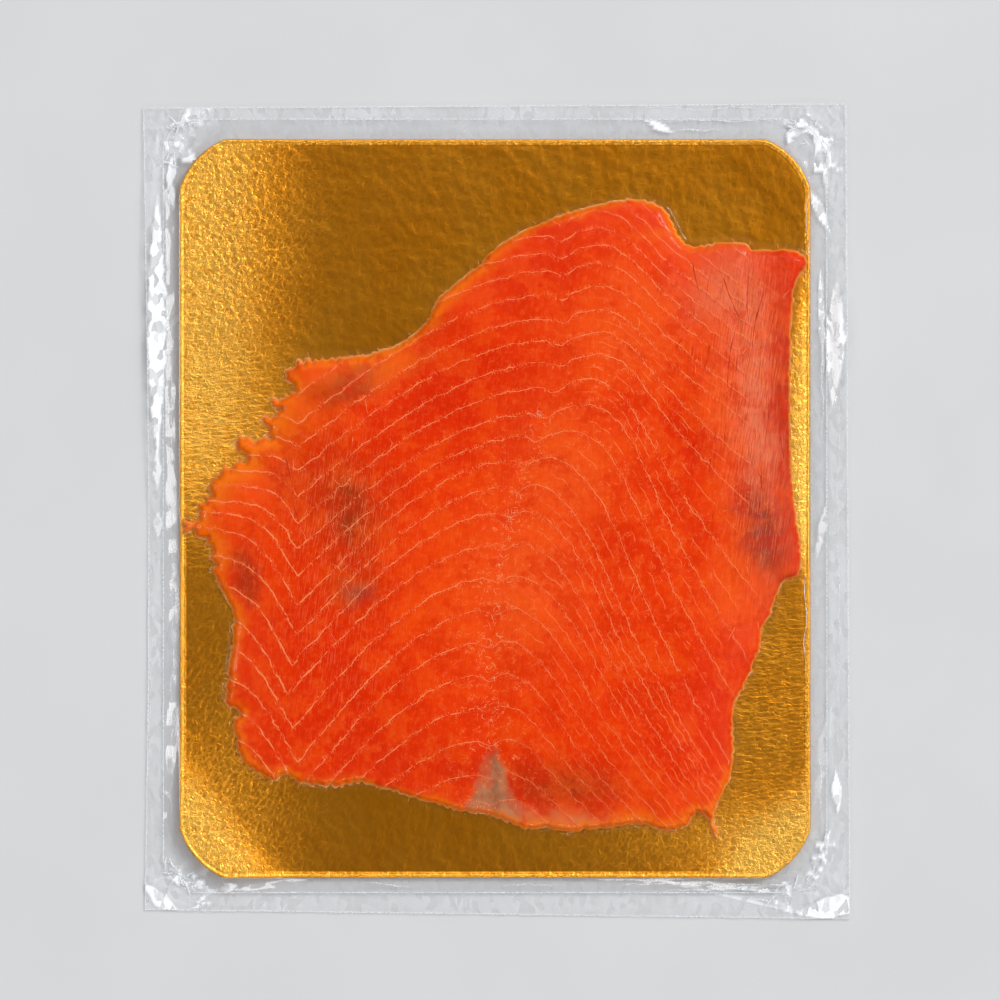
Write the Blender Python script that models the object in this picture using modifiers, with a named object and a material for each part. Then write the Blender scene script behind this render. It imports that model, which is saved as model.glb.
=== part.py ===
"""A vacuum pack of smoked salmon: a clear film pouch, a gold-faced board and the fish on it.

Metres, +Z up. The pack lies flat with the fish side up, and its origin is under the middle
of its base. Each piece is one closed solid, a small gap clear of its neighbours.
"""

import math

import bmesh
import bpy
from mathutils import Vector, geometry, noise

MM = 0.001

# Pouch: two webs of film welded in a band round the board.
POUCH_WIDTH = 224.4 * MM
POUCH_LENGTH = 258.8 * MM
# How far each corner falls short of the full width and length, as cut off the reel.
CORNER_SHORT = {
    "top_right": (1.2 * MM, 0.0),
    "top_left": (0.0, 1.3 * MM),
    "bottom_left": (0.6 * MM, 2.9 * MM),
    "bottom_right": (0.0, 0.0),
}
LEFT_SIDE_BOW = 1.4 * MM
WEB_THICKNESS = 0.3 * MM
SEAL_THICKNESS = 0.4 * MM
SEAL_RIDGE = 0.15 * MM
PLEAT_HEIGHT = 0.5 * MM
PLEATS_PER_CORNER = 4

# Board: a plate with bulging cut corners that meet the sides at a slight kink.
BOARD_WIDTH = 200.2 * MM
BOARD_LENGTH = 234.4 * MM
BOARD_THICKNESS = 1.0 * MM
BOARD_CENTRE = Vector((-0.4 * MM, 0.9 * MM))
CORNER_ALONG_X = 14.2 * MM
CORNER_ALONG_Y = 15.6 * MM
CORNER_RADIUS = 24.5 * MM
BOARD_EDGE_ROUND = 0.25 * MM

# Fish: a flat cut, thick in the middle and thin at its torn rim.
FISH_THICKNESS = 6.8 * MM
FISH_RIM_THICKNESS = 0.9 * MM
TORN_RIM_WIDTH = 16.0 * MM
CUT_RIM_WIDTH = 7.0 * MM
SEAM_DEPTH = 0.5 * MM
SEAM_WIDTH = 5.0 * MM
FISH_GRID = 5.5 * MM
RIM_ROWS = (1.6 * MM, 4.2 * MM)

GAP = 0.3 * MM

ARC_STEPS = 12
SIDE_STEPS = 10
CURVE_STEPS = 4

BOARD_BASE = WEB_THICKNESS + GAP
FISH_BASE = BOARD_BASE + BOARD_THICKNESS + GAP
LIP_HEIGHT = BOARD_BASE + BOARD_THICKNESS - 0.1 * MM

# The margin from the board outwards: how far across it each row lies, and its height.
MARGIN_ROWS = (
    (0.00, LIP_HEIGHT),
    (0.14, 0.62 * LIP_HEIGHT),
    (0.34, SEAL_THICKNESS),
    (0.42, SEAL_THICKNESS),
    (0.45, SEAL_THICKNESS + SEAL_RIDGE),
    (0.48, SEAL_THICKNESS),
    (0.84, SEAL_THICKNESS),
    (0.88, SEAL_THICKNESS + SEAL_RIDGE),
    (0.92, SEAL_THICKNESS),
    (1.00, SEAL_THICKNESS),
)
PLEATED_ROWS = (1, 2)

# The fish's rim in millimetres from the board's centre, clockwise from the top of the broad
# end. Stretches of plain curve are lists of points; torn stretches come from torn_edge().
BROAD_END = ((6.6, 86.6), (23.4, 93.9), (42.5, 97.8), (53.3, 94.8), (60.6, 83.7))
SHOULDER = ((72.6, 84.6), (93.9, 81.8), (99.0, 78.6), (94.6, 68.5))
RIGHT_SIDE = ((93.6, 46.5), (93.9, 12.3), (97.3, -16.0), (91.1, -23.5), (84.4, -40.0))
LOWER_RIGHT = ((75.5, -64.0), (74.9, -82.7), (71.0, -96.0), (70.5, -104.0), (66.5, -97.5), (60.0, -100.9))
FOOT = ((46.0, -100.1), (22.0, -102.5), (-3.0, -97.0), (-25.0, -92.8), (-45.0, -87.4))
LOWER_LEFT = ((-66.0, -86.0), (-80.5, -79.2), (-84.8, -60.8), (-82.9, -35.0))
TORN_START = (-88.6, -22.4)
TORN_POINT = (-96.0, -6.0)
TORN_END = (-63.0, 45.5)
NECK = ((-39.4, 48.8), (-22.3, 58.9), (-4.5, 77.3))
SEAM = ((16.0, 26.0), (5.0, -5.0), (-1.5, -33.0), (-1.5, -80.0))


def clear_scene():
    for item in list(bpy.data.objects):
        bpy.data.objects.remove(item, do_unlink=True)


def new_collection(name):
    group = bpy.data.collections.new(name)
    bpy.context.scene.collection.children.link(group)
    return group


def plain_material(name, colour, roughness, metallic=0.0, alpha=1.0):
    material = bpy.data.materials.new(name)
    material.use_nodes = True
    shader = material.node_tree.nodes["Principled BSDF"]
    shader.inputs["Base Color"].default_value = (*colour, 1.0)
    shader.inputs["Roughness"].default_value = roughness
    shader.inputs["Metallic"].default_value = metallic
    shader.inputs["Alpha"].default_value = alpha
    return material


def add_object(name, data, group, material):
    item = bpy.data.objects.new(name, data)
    data.materials.append(material)
    group.objects.link(item)
    return item


def board_corner(sign_x, sign_y):
    """Points of one corner's arc, from the kink on the upright side to the one on the level side."""
    half = Vector((BOARD_WIDTH / 2, BOARD_LENGTH / 2))
    on_upright = half - Vector((0, CORNER_ALONG_Y))
    on_level = half - Vector((CORNER_ALONG_X, 0))
    chord = on_level - on_upright
    inward = Vector((chord.y, -chord.x)).normalized()
    if inward.dot(half) > 0:
        inward.negate()
    depth = math.sqrt(CORNER_RADIUS**2 - (chord.length / 2) ** 2)
    centre = (on_upright + on_level) / 2 + inward * depth
    start = math.atan2(on_upright.y - centre.y, on_upright.x - centre.x)
    end = math.atan2(on_level.y - centre.y, on_level.x - centre.x)
    points = []
    for step in range(ARC_STEPS + 1):
        angle = start + (end - start) * step / ARC_STEPS
        x = centre.x + CORNER_RADIUS * math.cos(angle)
        y = centre.y + CORNER_RADIUS * math.sin(angle)
        points.append(Vector((sign_x * x, sign_y * y)) + BOARD_CENTRE)
    return points


def board_outline():
    """The board's outline, anticlockwise from its upper right corner."""
    top_right = board_corner(1, 1)
    top_left = board_corner(-1, 1)[::-1]
    bottom_left = board_corner(-1, -1)
    bottom_right = board_corner(1, -1)[::-1]
    return top_right, top_left, bottom_left, bottom_right


def pouch_corners():
    """The pouch's four cut corners, in the same order as the board's."""
    signs = {"top_right": (1, 1), "top_left": (-1, 1), "bottom_left": (-1, -1), "bottom_right": (1, -1)}
    corners = []
    for name, (sign_x, sign_y) in signs.items():
        short_x, short_y = CORNER_SHORT[name]
        x = sign_x * (POUCH_WIDTH / 2 - short_x)
        y = sign_y * (POUCH_LENGTH / 2 - short_y)
        corners.append(Vector((x, y)))
    return corners


def margin_stations():
    """Pairs of matching points on the board's outline and the pouch's edge, with pleat strength."""
    arcs = board_outline()
    corners = pouch_corners()
    stations = []
    for index, arc in enumerate(arcs):
        before = corners[index - 1]
        corner = corners[index]
        after = corners[(index + 1) % 4]
        enter = foot_on_line(arc[0], before, corner)
        leave = foot_on_line(arc[-1], corner, after)
        for step, point in enumerate(arc):
            along = 2 * step / ARC_STEPS
            edge = enter.lerp(corner, along) if along <= 1 else corner.lerp(leave, along - 1)
            wave = abs(math.sin(math.pi * PLEATS_PER_CORNER * step / ARC_STEPS))
            stations.append((point, edge, wave))
        following = arcs[(index + 1) % 4][0]
        for step in range(1, SIDE_STEPS):
            point = arc[-1].lerp(following, step / SIDE_STEPS)
            edge = foot_on_line(point, corner, after)
            if index == 1:
                edge.x += LEFT_SIDE_BOW * math.sin(math.pi * step / SIDE_STEPS)
            stations.append((point, edge, 0.0))
    return stations


def foot_on_line(point, start, end):
    nearest, _ = geometry.intersect_point_line(point, start, end)
    return nearest.to_2d()


def offset_outwards(points, distance):
    """Moves each point of an anticlockwise outline outwards along the bisector of its sides."""
    moved = []
    for index, point in enumerate(points):
        arriving = (point - points[index - 1]).normalized()
        leaving = (points[(index + 1) % len(points)] - point).normalized()
        bisector = (arriving + leaving).normalized()
        outward = Vector((bisector.y, -bisector.x))
        moved.append(point + outward * distance / bisector.dot(arriving))
    return moved


def add_ring(mesh, points, heights):
    return [mesh.verts.new((p.x, p.y, z)) for p, z in zip(points, heights)]


def bridge_rings(mesh, outer, inner):
    for index, _ in enumerate(outer):
        following = (index + 1) % len(outer)
        mesh.faces.new((outer[index], outer[following], inner[following], inner[index]))


def build_pouch(group):
    """Lower web, welded margin and the slope of film that climbs to the board's edge."""
    stations = margin_stations()
    board_side = offset_outwards([point for point, _, _ in stations], GAP)
    edge_side = [edge for _, edge, _ in stations]
    count = len(stations)
    mesh = bmesh.new()
    rings = [add_ring(mesh, edge_side, [0.0] * count)]
    for row in range(len(MARGIN_ROWS) - 1, -1, -1):
        across, height = MARGIN_ROWS[row]
        points = [inner.lerp(edge, across) for inner, edge in zip(board_side, edge_side)]
        pleat = PLEAT_HEIGHT if row in PLEATED_ROWS else 0.0
        rings.append(add_ring(mesh, points, [height + pleat * wave for _, _, wave in stations]))
    rings.append(add_ring(mesh, board_side, [WEB_THICKNESS] * count))
    for outer, inner in zip(rings, rings[1:]):
        bridge_rings(mesh, outer, inner)
    mesh.faces.new(rings[0][::-1])
    mesh.faces.new(rings[-1])
    data = bpy.data.meshes.new("film_pouch")
    mesh.to_mesh(data)
    mesh.free()
    film = plain_material("clear_film", (0.86, 0.87, 0.88), 0.08, alpha=0.35)
    return add_object("film_pouch", data, group, film)


def build_board(group):
    """A flat outline with thickness, its foil-wrapped edges rounded over."""
    outline = [point for arc in board_outline() for point in arc]
    curve = bpy.data.curves.new("gold_board", "CURVE")
    curve.dimensions = "2D"
    curve.fill_mode = "BOTH"
    curve.extrude = BOARD_THICKNESS / 2
    spline = curve.splines.new("POLY")
    spline.points.add(len(outline) - 1)
    for slot, point in zip(spline.points, outline):
        slot.co = (point.x, point.y, 0.0, 1.0)
    spline.use_cyclic_u = True
    gold = plain_material("gold_foil", (0.62, 0.33, 0.04), 0.32, metallic=1.0)
    board = add_object("gold_board", curve, group, gold)
    board.location.z = BOARD_BASE + BOARD_THICKNESS / 2
    weld = board.modifiers.new("weld_caps", "WELD")
    weld.merge_threshold = 0.01 * MM
    bevel = board.modifiers.new("round_edges", "BEVEL")
    bevel.width = BOARD_EDGE_ROUND
    bevel.segments = 2
    bevel.limit_method = "ANGLE"
    bevel.angle_limit = math.radians(60)
    return board


def torn_edge(start, end, teeth, depth):
    """A ragged stretch: blunt teeth that lean towards the end, each unlike the last."""
    along = Vector(end) - Vector(start)
    outward = Vector((-along.y, along.x)).normalized()
    points = []
    for tooth in range(teeth):
        uneven = noise.noise(Vector((tooth * 1.7, 0.5, 3.1)))
        tip = Vector(start) + along * (tooth + 0.62 + 0.3 * uneven) / teeth
        root = Vector(start) + along * (tooth + 0.96) / teeth
        points.append(tip + outward * depth * (0.8 + 1.4 * uneven))
        points.append(root - outward * depth * (0.8 - uneven))
    return [tuple(point) for point in points]


def fish_outline():
    """The fish's rim in metres, as one smooth closed loop through its points."""
    knots = [*BROAD_END, *SHOULDER, *RIGHT_SIDE, *LOWER_RIGHT, *FOOT, *LOWER_LEFT]
    knots += [TORN_START, *torn_edge(TORN_START, TORN_POINT, 2, 1.6), TORN_POINT]
    knots += [*torn_edge(TORN_POINT, TORN_END, 6, 2.6), TORN_END, *NECK]
    knots = [Vector(knot) * MM + BOARD_CENTRE for knot in knots]
    points = []
    for index, knot in enumerate(knots):
        following = knots[(index + 1) % len(knots)]
        leave = (following - knots[index - 1]) / 6
        arrive = (knots[(index + 2) % len(knots)] - knot) / 6
        bend = (knot.to_3d(), (knot + leave).to_3d(), (following - arrive).to_3d(), following.to_3d())
        stretch = geometry.interpolate_bezier(*bend, CURVE_STEPS + 1)
        points += [point.to_2d() for point in stretch[:-1]]
    return points


def distance_to_loop(point, loop):
    nearest = math.inf
    for index, start in enumerate(loop):
        end = loop[(index + 1) % len(loop)]
        foot, along = geometry.intersect_point_line(point, start, end)
        if not 0 <= along <= 1:
            foot = start if along < 0 else end
        nearest = min(nearest, (foot.to_2d() - point).length)
    return nearest


def distance_to_path(point, path):
    stretches = zip(path, path[1:])
    return min(distance_to_loop(point, stretch) for stretch in stretches)


def fish_plan(outline):
    """Points inside the rim: rows that follow it, then an even field of points."""
    inside = []
    for row in RIM_ROWS:
        for point in offset_outwards(outline, row):
            if distance_to_loop(point, outline) > 0.9 * row:
                inside.append(point)
    rows = int(POUCH_LENGTH / FISH_GRID)
    columns = int(POUCH_WIDTH / FISH_GRID)
    for row in range(rows):
        for column in range(columns):
            shift = 0.5 * (row % 2)
            x = (column + shift) * FISH_GRID - POUCH_WIDTH / 2
            y = row * FISH_GRID * math.sqrt(0.75) - POUCH_LENGTH / 2
            point = Vector((x, y))
            if distance_to_loop(point, outline) > RIM_ROWS[-1] + FISH_GRID / 3:
                inside.append(point)
    return inside


def fish_height(point, outline, seam):
    """Thickness of the flesh at a point: a rounded rim, a soft seam and slow swells."""
    rightward = 0.5 + (point.x - BOARD_CENTRE.x) / BOARD_WIDTH
    rim_width = TORN_RIM_WIDTH + (CUT_RIM_WIDTH - TORN_RIM_WIDTH) * rightward
    inward = min(distance_to_loop(point, outline) / rim_width, 1.0)
    rim = math.sqrt(1 - (1 - inward) ** 2)
    swell = 0.08 * noise.noise(Vector((point.x, point.y, 0.0)) / (30 * MM))
    crease = SEAM_DEPTH * math.exp(-((distance_to_path(point, seam) / SEAM_WIDTH) ** 2))
    full = FISH_THICKNESS * (0.92 + swell) - crease
    return FISH_RIM_THICKNESS + (full - FISH_RIM_THICKNESS) * rim


def build_fish(group):
    """A plan of triangles inside the rim, raised by the flesh's thickness over a flat base."""
    outline = fish_outline()
    seam = [Vector(point) * MM + BOARD_CENTRE for point in SEAM]
    rim = [(index, (index + 1) % len(outline)) for index in range(len(outline))]
    plan = geometry.delaunay_2d_cdt(outline + fish_plan(outline), rim, [], 1, 0.01 * MM)
    mesh = bmesh.new()
    base = [mesh.verts.new((point.x, point.y, FISH_BASE)) for point in plan[0]]
    underside = [mesh.faces.new([base[corner] for corner in face]) for face in plan[2]]
    raised = bmesh.ops.extrude_face_region(mesh, geom=underside)["geom"]
    for vert in raised:
        if isinstance(vert, bmesh.types.BMVert):
            vert.co.z += fish_height(vert.co.to_2d(), outline, seam)
    bmesh.ops.dissolve_faces(mesh, faces=[face for face in underside if face.is_valid])
    bmesh.ops.recalc_face_normals(mesh, faces=mesh.faces[:])
    data = bpy.data.meshes.new("salmon")
    mesh.to_mesh(data)
    mesh.free()
    data.shade_smooth()
    data.set_sharp_from_angle(angle=math.radians(50))
    flesh = plain_material("salmon_flesh", (0.78, 0.12, 0.02), 0.35)
    return add_object("salmon", data, group, flesh)


def main():
    clear_scene()
    group = new_collection("smoked_salmon_pack")
    build_pouch(group)
    build_board(group)
    build_fish(group)


main()
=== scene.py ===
"""Smoked salmon in its vacuum pack: the looks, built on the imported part.

The pack lies flat with the fish side up, +Z up, in the part's own frame. Plan measures are
millimetres from the board's centre, and heights are millimetres above the floor, until
to_frame() turns them into the frame's metres.
"""

import math

import bpy
import numpy as np
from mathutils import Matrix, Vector, geometry


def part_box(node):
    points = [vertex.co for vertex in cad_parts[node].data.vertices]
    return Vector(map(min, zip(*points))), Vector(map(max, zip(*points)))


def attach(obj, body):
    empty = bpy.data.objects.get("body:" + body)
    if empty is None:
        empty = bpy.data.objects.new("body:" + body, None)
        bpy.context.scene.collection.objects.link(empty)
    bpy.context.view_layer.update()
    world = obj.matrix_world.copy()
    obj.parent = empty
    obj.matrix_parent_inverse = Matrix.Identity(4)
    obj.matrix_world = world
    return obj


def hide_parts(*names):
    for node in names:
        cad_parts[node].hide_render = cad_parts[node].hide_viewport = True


MM = 0.001

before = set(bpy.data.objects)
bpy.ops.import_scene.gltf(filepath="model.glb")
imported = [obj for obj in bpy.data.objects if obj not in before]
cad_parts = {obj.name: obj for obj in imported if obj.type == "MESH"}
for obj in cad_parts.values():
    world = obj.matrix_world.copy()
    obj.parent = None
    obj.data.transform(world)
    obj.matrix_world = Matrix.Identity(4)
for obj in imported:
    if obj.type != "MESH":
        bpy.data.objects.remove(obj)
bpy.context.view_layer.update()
BOARD_LOW, BOARD_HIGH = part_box("gold_board")
_, FISH_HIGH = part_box("salmon")
POUCH_LOW, POUCH_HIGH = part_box("film_pouch")

BOARD_CENTRE = (BOARD_LOW + BOARD_HIGH) / 2
HALF_WIDTH = (BOARD_HIGH.x - BOARD_LOW.x) / 2 / MM
HALF_LENGTH = (BOARD_HIGH.y - BOARD_LOW.y) / 2 / MM
BOARD_UNDER = BOARD_LOW.z / MM
BOARD_FACE = BOARD_HIGH.z / MM
FLESH_DEPTH = (FISH_HIGH.z - BOARD_HIGH.z) / MM - 0.3

# Corners of the board: cut back along each side, with a bulging arc between.
CORNER_ALONG_X = 14.2
CORNER_ALONG_Y = 15.6
CORNER_RADIUS = 24.5

# Board: steps along its rim and over its face, and the least creasing of the rim's foil, which also
# gives the rim its painted yellow highlight.
BOARD_RIM_STEP = 0.9
BOARD_MESH_STEP = 2.0
RIM_CREASING_AND_PAINTED_HIGHLIGHT = 0.7

# Pouch: how far each corner falls short of the full size, and the left side's slight bow.
CORNER_SHORT = {
    "bottom_left": (0.6, 2.9),
    "bottom_right": (0.0, 0.0),
    "top_right": (1.2, 0.0),
    "top_left": (0.0, 1.3),
}
LEFT_SIDE_BOW = 1.4

# Film: its height at the seal, its gaps over the fish and the board, the width of the margin that
# is finely meshed, the mesh's steps in and out of that margin, and how rough its gloss is.
SEAL_HEIGHT = 0.35
FILM_CLEARANCE = 0.16
FILM_OFF_BOARD = 0.1
FILM_MARGIN = 13
FILM_FINE_STEP = 0.42
FILM_COARSE_STEP = 1.3
FILM_ROUGHNESS = 0.09

# The fish's rim, clockwise from the top of the broad end.
BROAD_END = ((-2, 81), (7, 87), (23.5, 94), (42.5, 98), (53.5, 95), (60.5, 84))
SHOULDER = ((72.5, 84.5), (79, 84), (82, 82), (94, 82), (99, 78.5), (96.5, 74), (94.5, 68.5))
RIGHT_SIDE = (
    (93.5, 46), (94, 12), (97, -14), (96, -21), (91, -23.5), (87, -34), (84.5, -38),
    (84, -44), (79, -56), (75.5, -63), (75, -83), (69.5, -96),
)
SLIVER = ((70.5, -104.5), (69, -103), (65.5, -96.5))
FOOT = (
    (60, -101), (53.5, -102), (46, -100), (24, -102.5), (15, -101), (10.5, -102), (-2, -97),
    (-11, -96), (-41, -87), (-49, -88), (-62.5, -87), (-67, -84), (-71, -86), (-80.5, -79),
)
LEFT_SIDE = ((-83, -67), (-81, -65), (-85.5, -61), (-83, -33.5), (-88.5, -22.5), (-90.5, -11))
TORN_POINT = (-99, -6)
TORN_TEETH = (
    (-95, -3), (-87, 11.5), (-78.5, 16), (-82.5, 21), (-71.5, 22.5), (-73, 28), (-68.5, 30),
    (-70, 34), (-63.5, 37), (-66, 43.5), (-61.5, 46.5),
)
NECK = ((-39.5, 49), (-29, 53), (-22, 59), (-17.5, 67), (-4.5, 77.5))

# Fish: the rim's and the mesh's steps, a row of points inside the rim, how far that row and the
# mesh keep clear of the rim, the lift of its underside, its rim's height, and its torn teeth.
RIM_STEP = 0.5
FISH_MESH_STEP = 0.68
FISH_ROW_INSET = 0.36
FISH_ROW_CLEAR = 0.31
FISH_MESH_CLEAR = 0.7
FISH_LIFT = 0.02
FISH_RIM_HEIGHT = 0.32
TOOTH_PITCH = 4.6
TOOTH_DEPTH = 1.9


# ---------------------------------------------------------------- plan geometry


def to_frame(x, y, z):
    """Rows of frame coordinates, in metres, from plan places and heights in millimetres."""
    across = BOARD_CENTRE.x + np.asarray(x, float) * MM
    along = BOARD_CENTRE.y + np.asarray(y, float) * MM
    return np.column_stack((across, along, np.asarray(z, float) * MM))


def ease(low, high, value):
    """0 below low, 1 above high, with a smooth climb between."""
    share = np.clip((value - low) / (high - low), 0, 1)
    return share * share * (3 - 2 * share)


def swell(x, y, size, seed, waves=9):
    """Smooth unevenness, about -1 to 1, with lumps of about the given size."""
    chance = np.random.default_rng(seed)
    total = np.zeros(np.shape(x))
    for _ in range(waves):
        heading = chance.uniform(0, 2 * math.pi)
        wavelength = size * chance.uniform(0.9, 2.4)
        along = x * math.cos(heading) + y * math.sin(heading)
        total += np.cos(2 * math.pi * along / wavelength + chance.uniform(0, 2 * math.pi))
    return total / math.sqrt(2.0 * waves)


def squared_distance(x, y, start, end):
    """Squared distance from each point to one straight stretch."""
    along = end - start
    share = ((x - start[0]) * along[0] + (y - start[1]) * along[1]) / (along @ along)
    share = np.clip(share, 0, 1)
    return (x - start[0] - share * along[0]) ** 2 + (y - start[1] - share * along[1]) ** 2


def distance_to(x, y, loop):
    """Distance from each point to a closed line."""
    loop = np.asarray(loop, float)
    nearest = np.full(np.shape(x), np.inf)
    for start, end in zip(loop, np.roll(loop, -1, axis=0)):
        nearest = np.minimum(nearest, squared_distance(x, y, start, end))
    return np.sqrt(nearest)


def is_inside(x, y, loop):
    """Whether each point lies inside a closed line."""
    within = np.zeros(np.shape(x), bool)
    for start, end in zip(loop, np.roll(loop, -1, axis=0)):
        if start[1] == end[1]:
            continue
        spans = (start[1] > y) != (end[1] > y)
        crossing = start[0] + (y - start[1]) * (end[0] - start[0]) / (end[1] - start[1])
        within ^= spans & (x < crossing)
    return within


def blob(x, y, centre, radii, turn=0.0, firmness=1.0):
    """A soft oval patch: 1 in its middle, fading to 0 outside its radii."""
    angle = math.radians(turn)
    across = (x - centre[0]) * math.cos(angle) + (y - centre[1]) * math.sin(angle)
    along = (y - centre[1]) * math.cos(angle) - (x - centre[0]) * math.sin(angle)
    reach = (across / radii[0]) ** 2 + (along / radii[1]) ** 2
    return np.exp(-(reach ** firmness))


def rounded_path(knots, step, closed=True):
    """Evenly spaced points of a smooth line through knots, with no overshoot at sharp ones."""
    knots = np.asarray(knots, float)
    before = np.roll(knots, 1, axis=0)
    after = np.roll(knots, -1, axis=0)
    if not closed:
        before[0] = knots[0]
        after[-1] = knots[-1]
    arriving = np.linalg.norm(knots - before, axis=1)
    leaving = np.linalg.norm(after - knots, axis=1)
    heading = after - before
    heading /= np.maximum(np.linalg.norm(heading, axis=1), 1e-9)[:, None]
    arriving[arriving == 0] = leaving[arriving == 0]
    pulls = np.where(leaving > 0, leaving, arriving)
    pull = heading * np.minimum(arriving, pulls)[:, None]
    points = []
    count = len(knots) if closed else len(knots) - 1
    for index in range(count):
        following = (index + 1) % len(knots)
        ends = knots[index], knots[following], pull[index], pull[following]
        pieces = max(2, round(leaving[index] / step))
        points += [hermite(*ends, share) for share in np.arange(pieces) / pieces]
    if not closed:
        points.append(knots[-1])
    return np.array(points)


def hermite(start, end, start_pull, end_pull, share):
    """A point of the smooth line between two knots."""
    square = share * share
    cube = square * share
    return (
        (2 * cube - 3 * square + 1) * start
        + (cube - 2 * square + share) * start_pull
        + (3 * square - 2 * cube) * end
        + (cube - square) * end_pull
    )


def outward_normals(loop, clockwise):
    """Unit normals of a closed line, pointing out of it."""
    along = np.roll(loop, -1, axis=0) - np.roll(loop, 1, axis=0)
    along /= np.linalg.norm(along, axis=1)[:, None]
    side = 1 if clockwise else -1
    return side * np.column_stack((-along[:, 1], along[:, 0]))


def even_points(low, high, spacing):
    """An even field of points, in rows that are half a step apart."""
    rise = spacing * math.sqrt(0.75)
    rows = np.arange(low[1], high[1], rise)
    columns = np.arange(low[0], high[0], spacing)
    x, y = np.meshgrid(columns, rows)
    x = x + (np.arange(len(rows)) % 2)[:, None] * spacing / 2
    return x.ravel(), y.ravel()


def triangulate(loop, x, y):
    """Points and triangles that fill a closed line, using the inner points given."""
    points = [Vector(point) for point in loop] + [Vector(point) for point in zip(x, y)]
    rim = [(index, (index + 1) % len(loop)) for index in range(len(loop))]
    plan = geometry.delaunay_2d_cdt(points, rim, [], 1, 1e-4)
    return np.array([tuple(point) for point in plan[0]]), plan[2]


# ---------------------------------------------------------------- mesh helpers


def add_piece(name, data):
    """A visible piece that rides the pack's one body."""
    piece = bpy.data.objects.new(name, data)
    bpy.context.scene.collection.objects.link(piece)
    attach(piece, "root")
    return piece


def mesh_object(name, points, faces, material):
    """A smooth-shaded mesh piece from frame coordinates and faces."""
    data = bpy.data.meshes.new(name)
    data.from_pydata(points.tolist(), [], faces)
    data.validate()
    data.materials.append(material)
    data.shade_smooth()
    return add_piece(name, data)


def band(first, second, count):
    """Faces between two closed rows of points, which start at these places."""
    places = [(index, (index + 1) % count) for index in range(count)]
    return [(first + here, first + after, second + after, second + here) for here, after in places]


def give_values(piece, name, values):
    """Stores one number for each vertex, for the material to read."""
    layer = piece.data.attributes.new(name, "FLOAT", "POINT")
    layer.data.foreach_set("value", np.asarray(values, np.float32))


def give_colours(piece, name, colours):
    """Stores one colour for each vertex."""
    layer = piece.data.attributes.new(name, "FLOAT_COLOR", "POINT")
    opaque = np.column_stack((colours, np.ones(len(colours))))
    layer.data.foreach_set("color", opaque.astype(np.float32).ravel())


def shade(code):
    """Linear red, green and blue of a hex colour."""
    values = np.array([int(code[place:place + 2], 16) for place in (0, 2, 4)]) / 255
    return np.where(values <= 0.04045, values / 12.92, ((values + 0.055) / 1.055) ** 2.4)


def opaque(code):
    """A hex colour as a node's red, green, blue and alpha."""
    return (*shade(code), 1.0)


def feed(tree, socket, value):
    """Links a socket to another node's output, or sets its own value."""
    if isinstance(value, bpy.types.NodeSocket):
        tree.links.new(value, socket)
    else:
        socket.default_value = value


def build_node(tree, kind, feeds=None, **settings):
    """A new node with its settings made and its inputs fed, each by socket name or number."""
    made = tree.nodes.new(kind)
    for name, value in settings.items():
        setattr(made, name, value)
    for socket, value in (feeds or {}).items():
        feed(tree, made.inputs[socket], value)
    return made


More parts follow.
